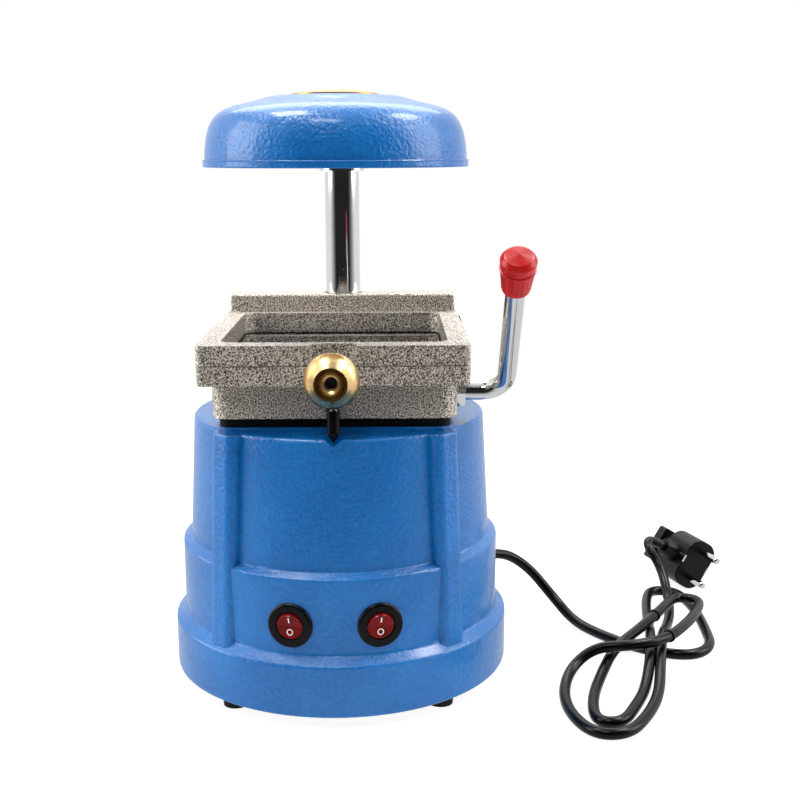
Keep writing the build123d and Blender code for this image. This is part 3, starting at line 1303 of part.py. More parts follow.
# Cord gland: flange inside the wall, tapered strain relief outside
gland_axis = radial_plane(180 - GLAND_ANGLE, 0, GLAND_Z)
with BuildPart() as cord_gland:
    with BuildSketch(Plane(gland_axis.origin, x_dir=gland_axis.x_dir, z_dir=gland_axis.y_dir * -1)):
        with BuildLine():
            Polyline(
                (CORD_R + SEAT, MID_R - WALL - GLAND_IN),
                (GLAND_FLANGE_R, MID_R - WALL - GLAND_IN),
                (GLAND_FLANGE_R, MID_R - WALL - SEAT),
                (GLAND_R, MID_R - WALL - SEAT),
                (GLAND_R, MID_R + GLAND_IN),
                (GLAND_TIP_R, MID_R + GLAND_OUT),
                (CORD_R + SEAT, MID_R + GLAND_OUT),
                close=True,
            )
        make_face()
    revolve(axis=Axis(gland_axis.origin, gland_axis.z_dir))
cord_gland.part.label = "cord_gland"
export_step(cord_gland.part, "parts/cord_gland.step")

# The plug's own frame: local Z along the pins, local X through both pins, local Y out along the boss
heading = radians(PLUG_HEADING)
pin_dir = Vector(cos(heading), sin(heading), 0)
across = Vector(-sin(heading), cos(heading), 0)
roll = radians(PLUG_ROLL)
pair_dir = across * cos(roll) + Vector(0, 0, sin(roll))
plug_plane = Plane(PLUG_AT, x_dir=pair_dir, z_dir=pin_dir)
BOSS_DIR = plug_plane.y_dir if plug_plane.y_dir.Z > 0 else plug_plane.y_dir * -1

# Mains lead as it lies on the table, bundled
CORD_POINTS = [
    (116, 72, 33),
    (134, 64, 12),
    (144, 48, 3.1),
    (156, 26, 3.1),
    (177, 2, 3.1),
    (204, -10, 3.1),
    (221, 4, 3.1),
    (224, 34, 3.1),
    (225.5, 62, 3.1),
    (224, 84, 3.1),
    (219, 100, 3.1),
    (204, 102, 3.1),
    (198, 86, 3.1),
    (193, 60, 3.1),
    (189.5, 35, 3.1),
    (184.5, 9, 10.4),
    (177, -28, 10.4),
    (169, -54, 3.1),
    (160, -74, 3.1),
    (149, -95, 3.1),
    (135, -93, 3.1),
    (137.5, -66, 3.1),
    (147, -38, 4.6),
    (157.8, -17.6, 11.8),
    (178, 8, 13.8),
    (195.5, 35, 14.2),
    (205, 53, 13),
    (213, 64, 12.6),
    (226, 58, 12.6),
    (221, 40, 13.4),
    (207, 11, 15.5),
    (188, -18, 17.4),
    (166, -27.5, 17.4),
    (146, -25, 16),
    (131, -33, 7.5),
    (123, -56, 3.1),
    (123, -84, 3.1),
    (132, -107, 3.1),
    (150, -107, 3.1),
    (164, -86, 3.1),
    (175, -62, 4),
    (182, -31, 10.3),
    (191.5, 8, 10.3),
    (200, 34, 4),
    (207, 56, 3.1),
    (211, 78, 6.5),
    (210, 98, 21),
    (201.8, 106.5, 33),
]
cord_start = gland_axis.origin + gland_axis.z_dir * (MID_R - WALL - CORD_TAIL)
cord_out = gland_axis.origin + gland_axis.z_dir * CORD_LEAVES
cord_bend = Vector(*PLUG_AT) + BOSS_DIR * PLUG_CORD_L
cord_end = Vector(*PLUG_AT) + BOSS_DIR * PLUG_CORD_IN
CORD_ROUTE = [cord_start, cord_out] + [Vector(*p) for p in CORD_POINTS] + [cord_bend, cord_end]


def bend_radii(route):
    """Bend radius at each inner point, from the shorter of its two runs and its turn."""
    radii = []
    for before, here, after in zip(route, route[1:], route[2:]):
        run_in = here - before
        run_out = after - here
        turn = radians(run_in.get_angle(run_out))
        radii.append(CORD_BEND_SHARE * min(run_in.length, run_out.length) / tan(turn / 2))
    return radii


CORD_RADII = bend_radii(CORD_ROUTE)
print("cord bend radii, mm:", [round(r, 1) for r in CORD_RADII])
with BuildPart() as mains_cord:
    with BuildLine() as cord_path:
        FilletPolyline(*CORD_ROUTE, radius=CORD_RADII)
    with BuildSketch(Plane(cord_path.line @ 0, z_dir=cord_path.line % 0)):
        Circle(CORD_R)
    sweep()
cord_length = sum(edge.length for edge in cord_path.edges())
cord_share = mains_cord.part.volume / (pi * CORD_R**2 * cord_length)
print("cord length, mm:", round(cord_length, 1), "volume over section x length:", round(cord_share, 4))
mains_cord.part.label = "mains_cord"
export_step(mains_cord.part, "parts/mains_cord.step")

# Moulded plug: rounded body, neck, pull grip and side boss for the cord
boss_plane = Plane(PLUG_AT, x_dir=plug_plane.x_dir, z_dir=BOSS_DIR)
with BuildPart() as plug_body:
    with BuildSketch(plug_plane.offset(-PLUG_L / 2)):
        RectangleRounded(PLUG_W, PLUG_D, PLUG_CORNER)
    extrude(amount=PLUG_L)
    fillet(plug_body.faces().filter_by(Axis(PLUG_AT, pin_dir)).edges(), 1.2)
    with BuildSketch(plug_plane.offset(-PLUG_L / 2)):
        RectangleRounded(PLUG_NECK[0], PLUG_NECK[1], 5)
    extrude(amount=-PLUG_NECK[2])
    with BuildSketch(plug_plane.offset(-PLUG_L / 2 - PLUG_NECK[2])):
        RectangleRounded(PLUG_GRIP[0], PLUG_GRIP[1], 2)
    extrude(amount=-PLUG_GRIP[2])
    with BuildSketch(boss_plane.offset(PLUG_D / 2 - 2)):
        Circle(PLUG_BOSS_R)
    extrude(amount=PLUG_BOSS_L - PLUG_D / 2 + 2, taper=4)
    with BuildSketch(boss_plane.offset(PLUG_CORD_IN)):
        Circle(CORD_R + SEAT)
    extrude(amount=PLUG_BOSS_L, mode=Mode.SUBTRACT)
    with BuildSketch(plug_plane.offset(PLUG_L / 2)):
        with GridLocations(PLUG_PIN_PITCH, 1, 2, 1):
            Circle(PLUG_PIN_R + SEAT)
    extrude(amount=-PLUG_PIN_SET, mode=Mode.SUBTRACT)
    # grooves for the two earth clips
    with BuildSketch(plug_plane.offset(PLUG_L / 2)):
        with GridLocations(1, PLUG_D - PLUG_CLIP[1], 1, 2):
            Rectangle(PLUG_CLIP[0] + 2 * SEAT, PLUG_CLIP[1] + 2 * SEAT)
    extrude(amount=-PLUG_CLIP[2] - SEAT, mode=Mode.SUBTRACT)
plug_body.part.label = "plug_body"
export_step(plug_body.part, "parts/plug_body.step")

with BuildPart() as plug_pins:
    with BuildSketch(plug_plane.offset(PLUG_L / 2 + PLUG_PIN_L)):
        with GridLocations(PLUG_PIN_PITCH, 1, 2, 1):
            Circle(PLUG_PIN_R)
    extrude(amount=-(PLUG_PIN_L + PLUG_PIN_SET - SEAT))
    fillet(plug_pins.faces().sort_by(Axis(PLUG_AT, pin_dir))[-2:].edges(), 1.6)
plug_pins.part.label = "plug_pins"
export_step(plug_pins.part, "parts/plug_pins.step")

with BuildPart() as plug_earth_clips:
    with BuildSketch(plug_plane.offset(PLUG_L / 2)):
        with GridLocations(1, PLUG_D - PLUG_CLIP[1], 1, 2):
            Rectangle(PLUG_CLIP[0], PLUG_CLIP[1])
    extrude(amount=-PLUG_CLIP[2])
plug_earth_clips.part.label = "plug_earth_clips"
export_step(plug_earth_clips.part, "parts/plug_earth_clips.step")
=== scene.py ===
import json
from math import cos, pi, radians, sin

import bmesh
import bpy
from mathutils import Matrix, Vector
from mathutils.bvhtree import BVHTree


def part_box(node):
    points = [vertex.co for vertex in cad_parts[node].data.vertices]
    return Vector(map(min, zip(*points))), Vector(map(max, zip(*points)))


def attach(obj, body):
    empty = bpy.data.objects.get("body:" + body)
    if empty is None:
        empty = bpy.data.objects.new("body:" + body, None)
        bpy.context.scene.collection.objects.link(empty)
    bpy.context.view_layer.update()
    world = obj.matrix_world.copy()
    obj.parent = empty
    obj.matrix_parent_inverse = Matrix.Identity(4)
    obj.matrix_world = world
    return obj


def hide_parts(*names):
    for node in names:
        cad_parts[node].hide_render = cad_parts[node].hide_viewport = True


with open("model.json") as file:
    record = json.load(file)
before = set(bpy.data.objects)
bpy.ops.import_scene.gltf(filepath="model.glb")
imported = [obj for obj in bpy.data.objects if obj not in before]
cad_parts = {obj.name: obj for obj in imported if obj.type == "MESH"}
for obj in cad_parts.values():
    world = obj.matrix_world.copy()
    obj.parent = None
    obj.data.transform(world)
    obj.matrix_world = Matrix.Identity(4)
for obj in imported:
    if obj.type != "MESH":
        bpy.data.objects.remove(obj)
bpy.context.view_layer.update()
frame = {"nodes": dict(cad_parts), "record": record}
MM = 0.001
scene = bpy.context.scene


# ======================================================================
# Small tools
# ======================================================================
def box_mm(node):
    """A node's lowest and highest corner at rest, in millimetres."""
    low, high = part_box(node)
    return Vector(low) / MM, Vector(high) / MM


def linear(hex_colour):
    """An sRGB hex colour as linear red, green, blue and alpha."""
    channels = [int(hex_colour[i : i + 2], 16) / 255 for i in (1, 3, 5)]
    return [c / 12.92 if c <= 0.04045 else ((c + 0.055) / 1.055) ** 2.4 for c in channels] + [1.0]


def add(tree, kind, inputs=None, stops=(), **settings):
    """Adds one shader node, sets its properties and colour stops, and fills or links its inputs.

    An input is given by name, or by number where names repeat: a mix has its factor at 0, its
    plain values at 2 and 3, and its colours at 6 and 7.
    """
    made = tree.nodes.new(kind)
    for name, value in settings.items():
        setattr(made, name, value)
    for name, value in (inputs or {}).items():
        if isinstance(value, bpy.types.NodeSocket):
            tree.links.new(value, made.inputs[name])
        else:
            made.inputs[name].default_value = value
    if stops:
        elements = made.color_ramp.elements
        while len(elements) < len(stops):
            elements.new(0.5)
        for element, (position, colour) in zip(elements, stops):
            element.position = position
            element.color = linear(colour) if isinstance(colour, str) else colour
    return made


def per_mm(size):
    """Texture scale that makes one cell this many millimetres wide."""
    return 1000.0 / size


def material(name):
    """A new material with an empty node tree, its output, and its object coordinates."""
    made = bpy.data.materials.new(name)
    made.use_nodes = True
    tree = made.node_tree
    tree.nodes.clear()
    output = add(tree, "ShaderNodeOutputMaterial")
    place = add(tree, "ShaderNodeTexCoord").outputs["Object"]
    return made, tree, output, place


# ======================================================================
# Finishes
# ======================================================================
def hammered_enamel():
    """Stoved blue enamel on a casting: gloss over shallow dimples, so highlights break up softly, with
    painted shade darkening the bottom of each dimple.
    """
    made, tree, output, place = material("hammered_blue_enamel")
    dimples = add(
        tree,
        "ShaderNodeTexVoronoi",
        {"Vector": place, "Scale": per_mm(2.4), "Smoothness": 0.9},
        feature="SMOOTH_F1",
    )
    peel = add(
        tree,
        "ShaderNodeTexNoise",
        {"Vector": place, "Scale": per_mm(1.7), "Detail": 3.0, "Roughness": 0.55},
    )
    flow = add(
        tree,
        "ShaderNodeTexNoise",
        {"Vector": place, "Scale": per_mm(45), "Detail": 2.0},
    )
    height = add(
        tree,
        "ShaderNodeMix",
        {0: 0.7, 2: dimples.outputs["Distance"], 3: peel.outputs["Fac"]},
    )
    bump = add(
        tree,
        "ShaderNodeBump",
        {"Height": height.outputs[0], "Strength": 0.9, "Distance": 0.9 * MM},
    )
    # colour darker at the bottom of each dimple: painted shade in the hollows
    dimple_shade = add(
        tree,
        "ShaderNodeValToRGB",
        {"Fac": dimples.outputs["Distance"]},
        stops=[(0.0, "#03569C"), (0.65, "#096BB3")],
    ).outputs["Color"]
    wash = add(
        tree,
        "ShaderNodeValToRGB",
        {"Fac": flow.outputs["Fac"]},
        stops=[(0.35, "#04589E"), (0.7, "#0A6EB8")],
    ).outputs["Color"]
    colour = add(
        tree,
        "ShaderNodeMix",
        {0: 0.5, 6: dimple_shade, 7: wash},
        data_type="RGBA",
    )
    rough = add(
        tree,
        "ShaderNodeMapRange",
        {"Value": flow.outputs["Fac"], "To Min": 0.22, "To Max": 0.29},
    )
    shader = add(
        tree,
        "ShaderNodeBsdfPrincipled",
        {
            "Base Color": colour.outputs[2],
            "Roughness": rough.outputs[0],
            "IOR": 1.5,
            "Specular IOR Level": 0.4,
            "Coat Weight": 0.35,
            "Coat Roughness": 0.12,
            "Normal": bump.outputs[0],
        },
    )
    tree.links.new(shader.outputs[0], output.inputs[0])
    return made


def cast_aluminium():
    """Sand-cast aluminium left rough and lacquered: coarse grains whose dark pits and bright points are
    partly real grain and partly painted sparkle and painted shade, plus bright specks that are painted
    glints.
    """
    made, tree, output, place = material("coarse_cast_aluminium")
    grains = add(
        tree,
        "ShaderNodeTexNoise",
        {"Vector": place, "Scale": per_mm(0.8), "Detail": 2.0, "Roughness": 0.6},
    )
    specks = add(
        tree,
        "ShaderNodeTexVoronoi",
        {"Vector": place, "Scale": per_mm(1.1)},
        feature="F1",
    )
    # black to white speckle: partly the casting's real grain, partly painted sparkle on its facets and
    # painted shade in its pits
    tint = add(
        tree,
        "ShaderNodeValToRGB",
        {"Fac": grains.outputs["Fac"]},
        stops=[(0.39, "#1B130C"), (0.47, "#96897A"), (0.54, "#E8DED2"), (0.62, "#FFFDF8")],
    ).outputs["Color"]
    # bright specks mixed into the colour: painted glints
    painted_glint = add(
        tree,
        "ShaderNodeValToRGB",
        {"Fac": specks.outputs["Color"]},
        stops=[(0.45, "#94887B"), (0.75, "#E4DBD0")],
    ).outputs["Color"]
    colour = add(tree, "ShaderNodeMix", {0: 0.15, 6: tint, 7: painted_glint}, data_type="RGBA")
    bump = add(
        tree,
        "ShaderNodeBump",
        {"Height": grains.outputs["Fac"], "Strength": 1.0, "Distance": 0.8 * MM},
    )
    shader = add(
        tree,
        "ShaderNodeBsdfPrincipled",
        {
            "Base Color": colour.outputs[2],
            "Metallic": 0.92,
            "Roughness": 0.36,
            "Normal": bump.outputs[0],
        },
    )
    tree.links.new(shader.outputs[0], output.inputs[0])
    return made


def polished_chrome():
    """Bright chromium plate on drawn steel: a mirror with a faint cloudy polishing haze."""
    made, tree, output, place = material("polished_chrome_plate")
    haze = add(
        tree,
        "ShaderNodeTexNoise",
        {"Vector": place, "Scale": per_mm(6), "Detail": 4.0},
    )
    rough = add(
        tree,
        "ShaderNodeMapRange",
        {"Value": haze.outputs["Fac"], "To Min": 0.05, "To Max": 0.12},
    )
    shader = add(
        tree,
        "ShaderNodeBsdfPrincipled",
        {"Base Color": linear("#DCDDDE"), "Metallic": 1.0, "Roughness": rough.outputs[0]},
    )
    tree.links.new(shader.outputs[0], output.inputs[0])
    return made


def zinc_steel():
    """Zinc-plated pressed steel: satin grey with a soft cloudy bloom."""
    made, tree, output, place = material("zinc_plated_steel")
    bloom = add(
        tree,
        "ShaderNodeTexNoise",
        {"Vector": place, "Scale": per_mm(14), "Detail": 5.0, "Roughness": 0.6},
    )
    colour = add(
        tree,
        "ShaderNodeValToRGB",
        {"Fac": bloom.outputs["Fac"]},
        stops=[(0.35, "#9C9D9C"), (0.68, "#C4C4C0")],
    ).outputs["Color"]
    rough = add(
        tree,
        "ShaderNodeMapRange",
        {"Value": bloom.outputs["Fac"], "To Min": 0.28, "To Max": 0.42},
    )
    shader = add(
        tree,
        "ShaderNodeBsdfPrincipled",
        {"Base Color": colour, "Metallic": 1.0, "Roughness": rough.outputs[0]},
    )
    tree.links.new(shader.outputs[0], output.inputs[0])
    return made


def turned_brass(centre, about):
    """Brass turned on a lathe and lightly polished: warm gold with fine rings round its axis."""
    made, tree, output, place = material("turned_brass")
    centred = add(
        tree,
        "ShaderNodeMapping",
        {"Vector": place, "Location": (-centre[0], -centre[1], -centre[2])},
    )
    flat = add(
        tree,
        "ShaderNodeVectorMath",
        {0: centred.outputs[0], 1: [0.0 if axis == about else 1.0 for axis in "XYZ"]},
        operation="MULTIPLY",
    )
    radius = add(tree, "ShaderNodeVectorMath", {0: flat.outputs[0]}, operation="LENGTH")
    # turning marks 0.35 mm apart, wider than the real ones so that they show
    rings = add(
        tree,
        "ShaderNodeMath",
        {0: radius.outputs["Value"], 1: 2 * pi * per_mm(0.35)},
        operation="MULTIPLY",
    )
    wave = add(tree, "ShaderNodeMath", {0: rings.outputs[0]}, operation="SINE")
    bump = add(
        tree,
        "ShaderNodeBump",
        {"Height": wave.outputs[0], "Strength": 0.05, "Distance": 0.04 * MM},
    )
    tarnish = add(
        tree,
        "ShaderNodeTexNoise",
        {"Vector": place, "Scale": per_mm(9), "Detail": 3.0},
    )
    colour = add(
        tree,
        "ShaderNodeValToRGB",
        {"Fac": tarnish.outputs["Fac"]},
        stops=[(0.3, "#EDBD72"), (0.7, "#FFE0A6")],
    ).outputs["Color"]
    shader = add(
        tree,
        "ShaderNodeBsdfPrincipled",
        {
            "Base Color": colour,
            "Metallic": 1.0,
            "Roughness": 0.25,
            "Normal": bump.outputs[0],
        },
    )
    tree.links.new(shader.outputs[0], output.inputs[0])
    return made


def moulded(name, hexes, roughness, grain_mm, bump_mm, coat=0.0, gloss=0.5):
    """Moulded rubber or plastic: an even colour with a fine skin texture of the mould."""
    made, tree, output, place = material(name)
    skin = add(
        tree,
        "ShaderNodeTexNoise",
        {"Vector": place, "Scale": per_mm(grain_mm), "Detail": 3.0},
    )
    shade = add(
        tree,
        "ShaderNodeTexNoise",
        {"Vector": place, "Scale": per_mm(12), "Detail": 2.0},
    )
    colour = add(
        tree,
        "ShaderNodeValToRGB",
        {"Fac": shade.outputs["Fac"]},
        stops=[(0.3, hexes[0]), (0.7, hexes[1])],
    ).outputs["Color"]
    rough = add(
        tree,
        "ShaderNodeMapRange",
        {"Value": skin.outputs["Fac"], "To Min": roughness - 0.05, "To Max": roughness + 0.05},
    )
    bump = add(
        tree,
        "ShaderNodeBump",
        {"Height": skin.outputs["Fac"], "Strength": 0.3, "Distance": bump_mm * MM},
    )
    shader = add(
        tree,
        "ShaderNodeBsdfPrincipled",
        {
            "Base Color": colour,
            "Roughness": rough.outputs[0],
            "Specular IOR Level": gloss,
            "Coat Weight": coat,
            "Coat Roughness": 0.06,
            "Normal": bump.outputs[0],
        },
    )
    tree.links.new(shader.outputs[0], output.inputs[0])
    return made


def badge_enamel(gold_from):
    """Plain badge: cream enamel in the middle and polished gold plate at its edge."""
    made, tree, output, place = material("gold_rimmed_cream_badge")
    flat = add(
        tree,
        "ShaderNodeVectorMath",
        {0: place, 1: (1.0, 1.0, 0.0)},
        operation="MULTIPLY",
    )
    radius = add(tree, "ShaderNodeVectorMath", {0: flat.outputs[0]}, operation="LENGTH")
    edge = add(
        tree,
        "ShaderNodeMath",
        {0: radius.outputs["Value"], 1: gold_from},
        operation="GREATER_THAN",
    )
    cloud = add(
        tree,
        "ShaderNodeTexNoise",
        {"Vector": place, "Scale": per_mm(8), "Detail": 2.0},
    )
    cream = add(
        tree,
        "ShaderNodeValToRGB",
        {"Fac": cloud.outputs["Fac"]},
        stops=[(0.3, "#B4955A"), (0.7, "#C6AB72")],
    ).outputs["Color"]
    colour = add(
        tree,
        "ShaderNodeMix",
        {0: edge.outputs[0], 6: cream, 7: linear("#C08A24")},
        data_type="RGBA",
    )
    shader = add(
        tree,
        "ShaderNodeBsdfPrincipled",
        {
            "Base Color": colour.outputs[2],
            "Metallic": edge.outputs[0],
            "Roughness": 0.28,
        },
    )
    tree.links.new(shader.outputs[0], output.inputs[0])
    return made


def lamp_red_lens():
    """Red polycarbonate rocker: deep, glossy, with a little light carried inside."""
    made, tree, output, place = material("red_polycarbonate")
    depth = add(
        tree,
        "ShaderNodeTexNoise",
        {"Vector": place, "Scale": per_mm(7), "Detail": 2.0},
    )
    colour = add(
        tree,
        "ShaderNodeValToRGB",
        {"Fac": depth.outputs["Fac"]},
        stops=[(0.3, "#580002"), (0.7, "#720204")],
    ).outputs["Color"]
    shader = add(
        tree,
        "ShaderNodeBsdfPrincipled",
        {
            "Base Color": colour,
            "Roughness": 0.16,
            "IOR": 1.58,
            "Specular IOR Level": 0.12,
            "Subsurface Weight": 0.12,
            "Subsurface Radius": (0.002, 0.0005, 0.0005),
            "Subsurface Scale": 1.0,
            "Coat Weight": 0.05,
            "Coat Roughness": 0.05,
        },
    )
    tree.links.new(shader.outputs[0], output.inputs[0])
    return made


BUSH_LOW, BUSH_HIGH = box_mm("slide_bush")
POST_Y = (BUSH_LOW.y + BUSH_HIGH.y) / 2
KNOB_LOW, KNOB_HIGH = box_mm("clamp_knob")
BOLT_Z = (KNOB_LOW.z + KNOB_HIGH.z) / 2
BADGE_RIM_W = 2.2
BADGE_R = box_mm("crown_badge")[1].x

# hammered blue enamel of the base and the dome
ENAMEL = hammered_enamel()
# rough cast aluminium of the two frames
CASTING = cast_aluminium()
# chromium plate of the post, the lever and the plug's pins
CHROME = polished_chrome()
# zinc plate of the pressed steel, the screws and the motor
ZINC = zinc_steel()
# lathe-turned brass of the knob, ringed about the bolt
BRASS = turned_brass((0.0, 0.0, BOLT_Z * MM), "Y")
# the same turned metal for the slide bush, ringed about the post
BUSH_BRONZE = turned_brass((0.0, POST_Y * MM, 0.0), "Z")
# nitrile seal and feet: dull black with a dusty bloom
NITRILE = moulded("nitrile_rubber", ("#060606", "#0D0D0D"), 0.72, 0.7, 0.06, gloss=0.25)
# soft PVC sheath of the lead: black with a low sheen
SHEATH = moulded("black_pvc_sheath", ("#030304", "#060607"), 0.26, 1.2, 0.02, gloss=0.2)
# ABS of the terminal block, gland and plug: spark-eroded satin
SATIN_ABS = moulded("satin_black_abs", ("#040405", "#080809"), 0.34, 0.5, 0.04, gloss=0.22)
# polished nylon of the switch bezels and the dipped locating pin
GLOSS_NYLON = moulded("gloss_black_nylon", ("#040405", "#08080A"), 0.24, 2.0, 0.02, gloss=0.2)
# soft red PVC of the grip: bright, waxy and slightly rough
GRIP_PVC = moulded("red_pvc_grip", ("#9C0609", "#B60C0F"), 0.33, 0.9, 0.04, coat=0.08, gloss=0.3)
# unglazed cordierite of the heater: chalky off-white
CORDIERITE = moulded("cordierite_ceramic", ("#CFC8B8", "#E4DED0"), 0.85, 0.8, 0.10)
# nickel-chrome ribbon after its first heats: grey brown oxide
OXIDE_RIBBON = moulded("oxidised_heating_ribbon", ("#4A3B33", "#6A574A"), 0.55, 0.6, 0.04)
# black-oxide finish of the swing bolt: near black with a dull oil sheen
BLACK_OXIDE = moulded("black_oxide_steel", ("#191817", "#232120"), 0.40, 0.5, 0.03)
# white ink of the switch marks
WHITE_INK = moulded("white_marking_ink", ("#EDEDEA", "#F7F7F4"), 0.45, 0.5, 0.01)
# red polycarbonate of the two rockers
ROCKER = lamp_red_lens()
# cream badge on the dome's crown, gold from this radius outwards
BADGE = badge_enamel((BADGE_R - BADGE_RIM_W) * MM)

FINISHES = {
    "blue_enamel": ENAMEL,
    "cast_frame": CASTING,
    "chrome": CHROME,
    "steel": ZINC,
    "brass": BRASS,
    "rubber_black": NITRILE,
    "cord_black": SHEATH,
    "plastic_black": SATIN_ABS,
    "plastic_dark": GLOSS_NYLON,
    "rocker_red": ROCKER,
    "grip_red": GRIP_PVC,
    "ceramic": CORDIERITE,
    "coil": OXIDE_RIBBON,
    "gold": BADGE,
    "plug_metal": CHROME,
}
for subpart in frame["record"]["subparts"]:
    node = frame["nodes"][subpart["node"]]
    node.data.materials.clear()
    node.data.materials.append(FINISHES[subpart["material_slot"]])
# single parts whose finish is not the one of their slot
frame["nodes"]["slide_bush"].data.materials[0] = BUSH_BRONZE
frame["nodes"]["head_bush"].data.materials[0] = CHROME
frame["nodes"]["hinge_pin"].data.materials[0] = CHROME
frame["nodes"]["swing_bolt"].data.materials[0] = BLACK_OXIDE

# ======================================================================
# Camera
# ======================================================================
# angles in degrees, lens and sensor in millimetres
CAMERA_AT = Vector((28.3, -688.6, 293.9)) * MM
CAMERA_HEADING = -0.52
CAMERA_DOWN = 11.36
CAMERA_ROLL = -0.18
camera = bpy.data.objects.new("camera", bpy.data.cameras.new("camera"))
camera.data.sensor_width = 36.0
camera.data.lens = 55.54
camera.data.clip_start = 0.01
camera.data.clip_end = 100.0
camera.matrix_world = (
    Matrix.Translation(CAMERA_AT)
    @ Matrix.Rotation(radians(CAMERA_HEADING), 4, "Z")
    @ Matrix.Rotation(radians(90 - CAMERA_DOWN), 4, "X")
    @ Matrix.Rotation(radians(CAMERA_ROLL), 4, "Z")
)
scene.collection.objects.link(camera)
scene.camera = camera

# ======================================================================
# Mains lead, bundled on the table beside the base
# ======================================================================
LEAD_DIAMETER = 6.2
PLUG_MIDDLE = Vector((233.0, 126.0, 16.8))
PLUG_HEADING = radians(-72.5)
PLUG_ROLL = radians(57.0)
PINS_WAY = Vector((cos(PLUG_HEADING), sin(PLUG_HEADING), 0.0))
ACROSS_PINS = Vector((-sin(PLUG_HEADING), cos(PLUG_HEADING), 0.0))
PAIR_WAY = ACROSS_PINS * cos(PLUG_ROLL) + Vector((0.0, 0.0, sin(PLUG_ROLL)))
LEAD_WAY = PINS_WAY.cross(PAIR_WAY)
STRAIGHT_FROM = 34.0
ENDS_IN_PLUG = 13.0
# the route of the part's own mains_cord
LEAD_ROUTE = [
    (64.5, 43.5, 45.1),
    (95.3, 64.3, 45.1),
    (116, 72, 33),
    (134, 64, 12),
    (144, 48, 3.1),
    (156, 26, 3.1),
    (177, 2, 3.1),
    (204, -10, 3.1),
    (221, 4, 3.1),
    (224, 34, 3.1),
    (225.5, 62, 3.1),
    (224, 84, 3.1),
    (219, 100, 3.1),
    (204, 102, 3.1),
    (198, 86, 3.1),
    (193, 60, 3.1),
    (189.5, 35, 3.1),
    (184.5, 9, 10.4),
    (177, -28, 10.4),
    (169, -54, 3.1),
    (160, -74, 3.1),
    (149, -95, 3.1),
    (135, -93, 3.1),
    (137.5, -66, 3.1),
    (147, -38, 4.6),
    (157.8, -17.6, 11.8),
    (178, 8, 13.8),
    (195.5, 35, 14.2),
    (205, 53, 13),
    (213, 64, 12.6),
    (226, 58, 12.6),
    (221, 40, 13.4),
    (207, 11, 15.5),
    (188, -18, 17.4),
    (166, -27.5, 17.4),
    (146, -25, 16),
    (131, -33, 7.5),
    (123, -56, 3.1),
    (123, -84, 3.1),
    (132, -107, 3.1),
    (150, -107, 3.1),
    (164, -86, 3.1),
    (175, -62, 4),
    (182, -31, 10.3),
    (191.5, 8, 10.3),
    (200, 34, 4),
    (207, 56, 3.1),
    (211, 78, 6.5),
    (210, 98, 21),
    (201.8, 106.5, 33),
    tuple(PLUG_MIDDLE + LEAD_WAY * STRAIGHT_FROM),
    tuple(PLUG_MIDDLE + LEAD_WAY * ENDS_IN_PLUG),
]
lead_curve = bpy.data.curves.new("mains_lead", "CURVE")
lead_curve.dimensions = "3D"
spline = lead_curve.splines.new("NURBS")
spline.points.add(len(LEAD_ROUTE) - 1)
for point, place in zip(spline.points, LEAD_ROUTE):
    point.co = (place[0] * MM, place[1] * MM, place[2] * MM, 1.0)
spline.order_u = 3
spline.use_endpoint_u = True
spline.resolution_u = 10
lead_curve.bevel_depth = LEAD_DIAMETER / 2 * MM
lead_curve.bevel_resolution = 6
lead_curve.use_fill_caps = True
lead_curve.materials.append(SHEATH)
lead = bpy.data.objects.new("mains_lead", lead_curve)
scene.collection.objects.link(lead)
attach(lead, "base")
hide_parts("mains_cord")


# ======================================================================
# Pieces added to the parts
# ======================================================================
SHARP_FROM = radians(38)


def finished(name, shape, finish, body):
    """Turns a bmesh into a smooth piece that rides on a body, with its place in its mesh."""
    mesh = bpy.data.meshes.new(name)
    shape.to_mesh(mesh)
    shape.free()
    mesh.materials.append(finish)
    for face in mesh.polygons:
        face.use_smooth = True
    made = bpy.data.objects.new(name, mesh)
    scene.collection.objects.link(made)
    edges = made.modifiers.new("sharp_edges", "EDGE_SPLIT")
    edges.split_angle = SHARP_FROM
    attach(made, body)


def turned(profile, steps):
    """Spins a closed or open (radius, height) profile in millimetres about +Z."""
    shape = bmesh.new()
    points = [shape.verts.new((r * MM, 0.0, z * MM)) for r, z in profile]
    edges = [shape.edges.new(pair) for pair in zip(points, points[1:])]
    bmesh.ops.spin(
        shape,
        geom=points + edges,
        axis=(0, 0, 1),
        cent=(0, 0, 0),
        angle=2 * pi,
        steps=steps,
        use_merge=True,
    )
    bmesh.ops.remove_doubles(shape, verts=shape.verts, dist=0.001 * MM)
    bmesh.ops.recalc_face_normals(shape, faces=shape.faces)
    return shape


def fluted(low, high, length, count, depth):
    """A tapering sleeve ridged along its axis, the ridges this share of its radius deep."""
    shape = bmesh.new()
    bmesh.ops.create_cone(
        shape,
        cap_ends=False,
        segments=4 * count,
        radius1=low * MM,
        radius2=high * MM,
        depth=length * MM,
    )
    hollows = []
    for vertex in shape.verts:
        around = vertex.co.to_2d().angle_signed(Vector((1, 0)), 0)
        corner = round(around / (pi / 2 / count))
        if corner % 4 > 1:
            hollows.append(vertex)
    bmesh.ops.scale(shape, vec=(1 - depth, 1 - depth, 1), verts=hollows)
    return shape


def stood(shape, at, way):
    """Moves a shape made about +Z so that its base point is at `at` and its axis is `way`."""
    turn = Vector((0, 0, 1)).rotation_difference(way).to_matrix().to_4x4()
    bmesh.ops.transform(shape, matrix=Matrix.Translation(Vector(at) * MM) @ turn, verts=shape.verts)
    return shape


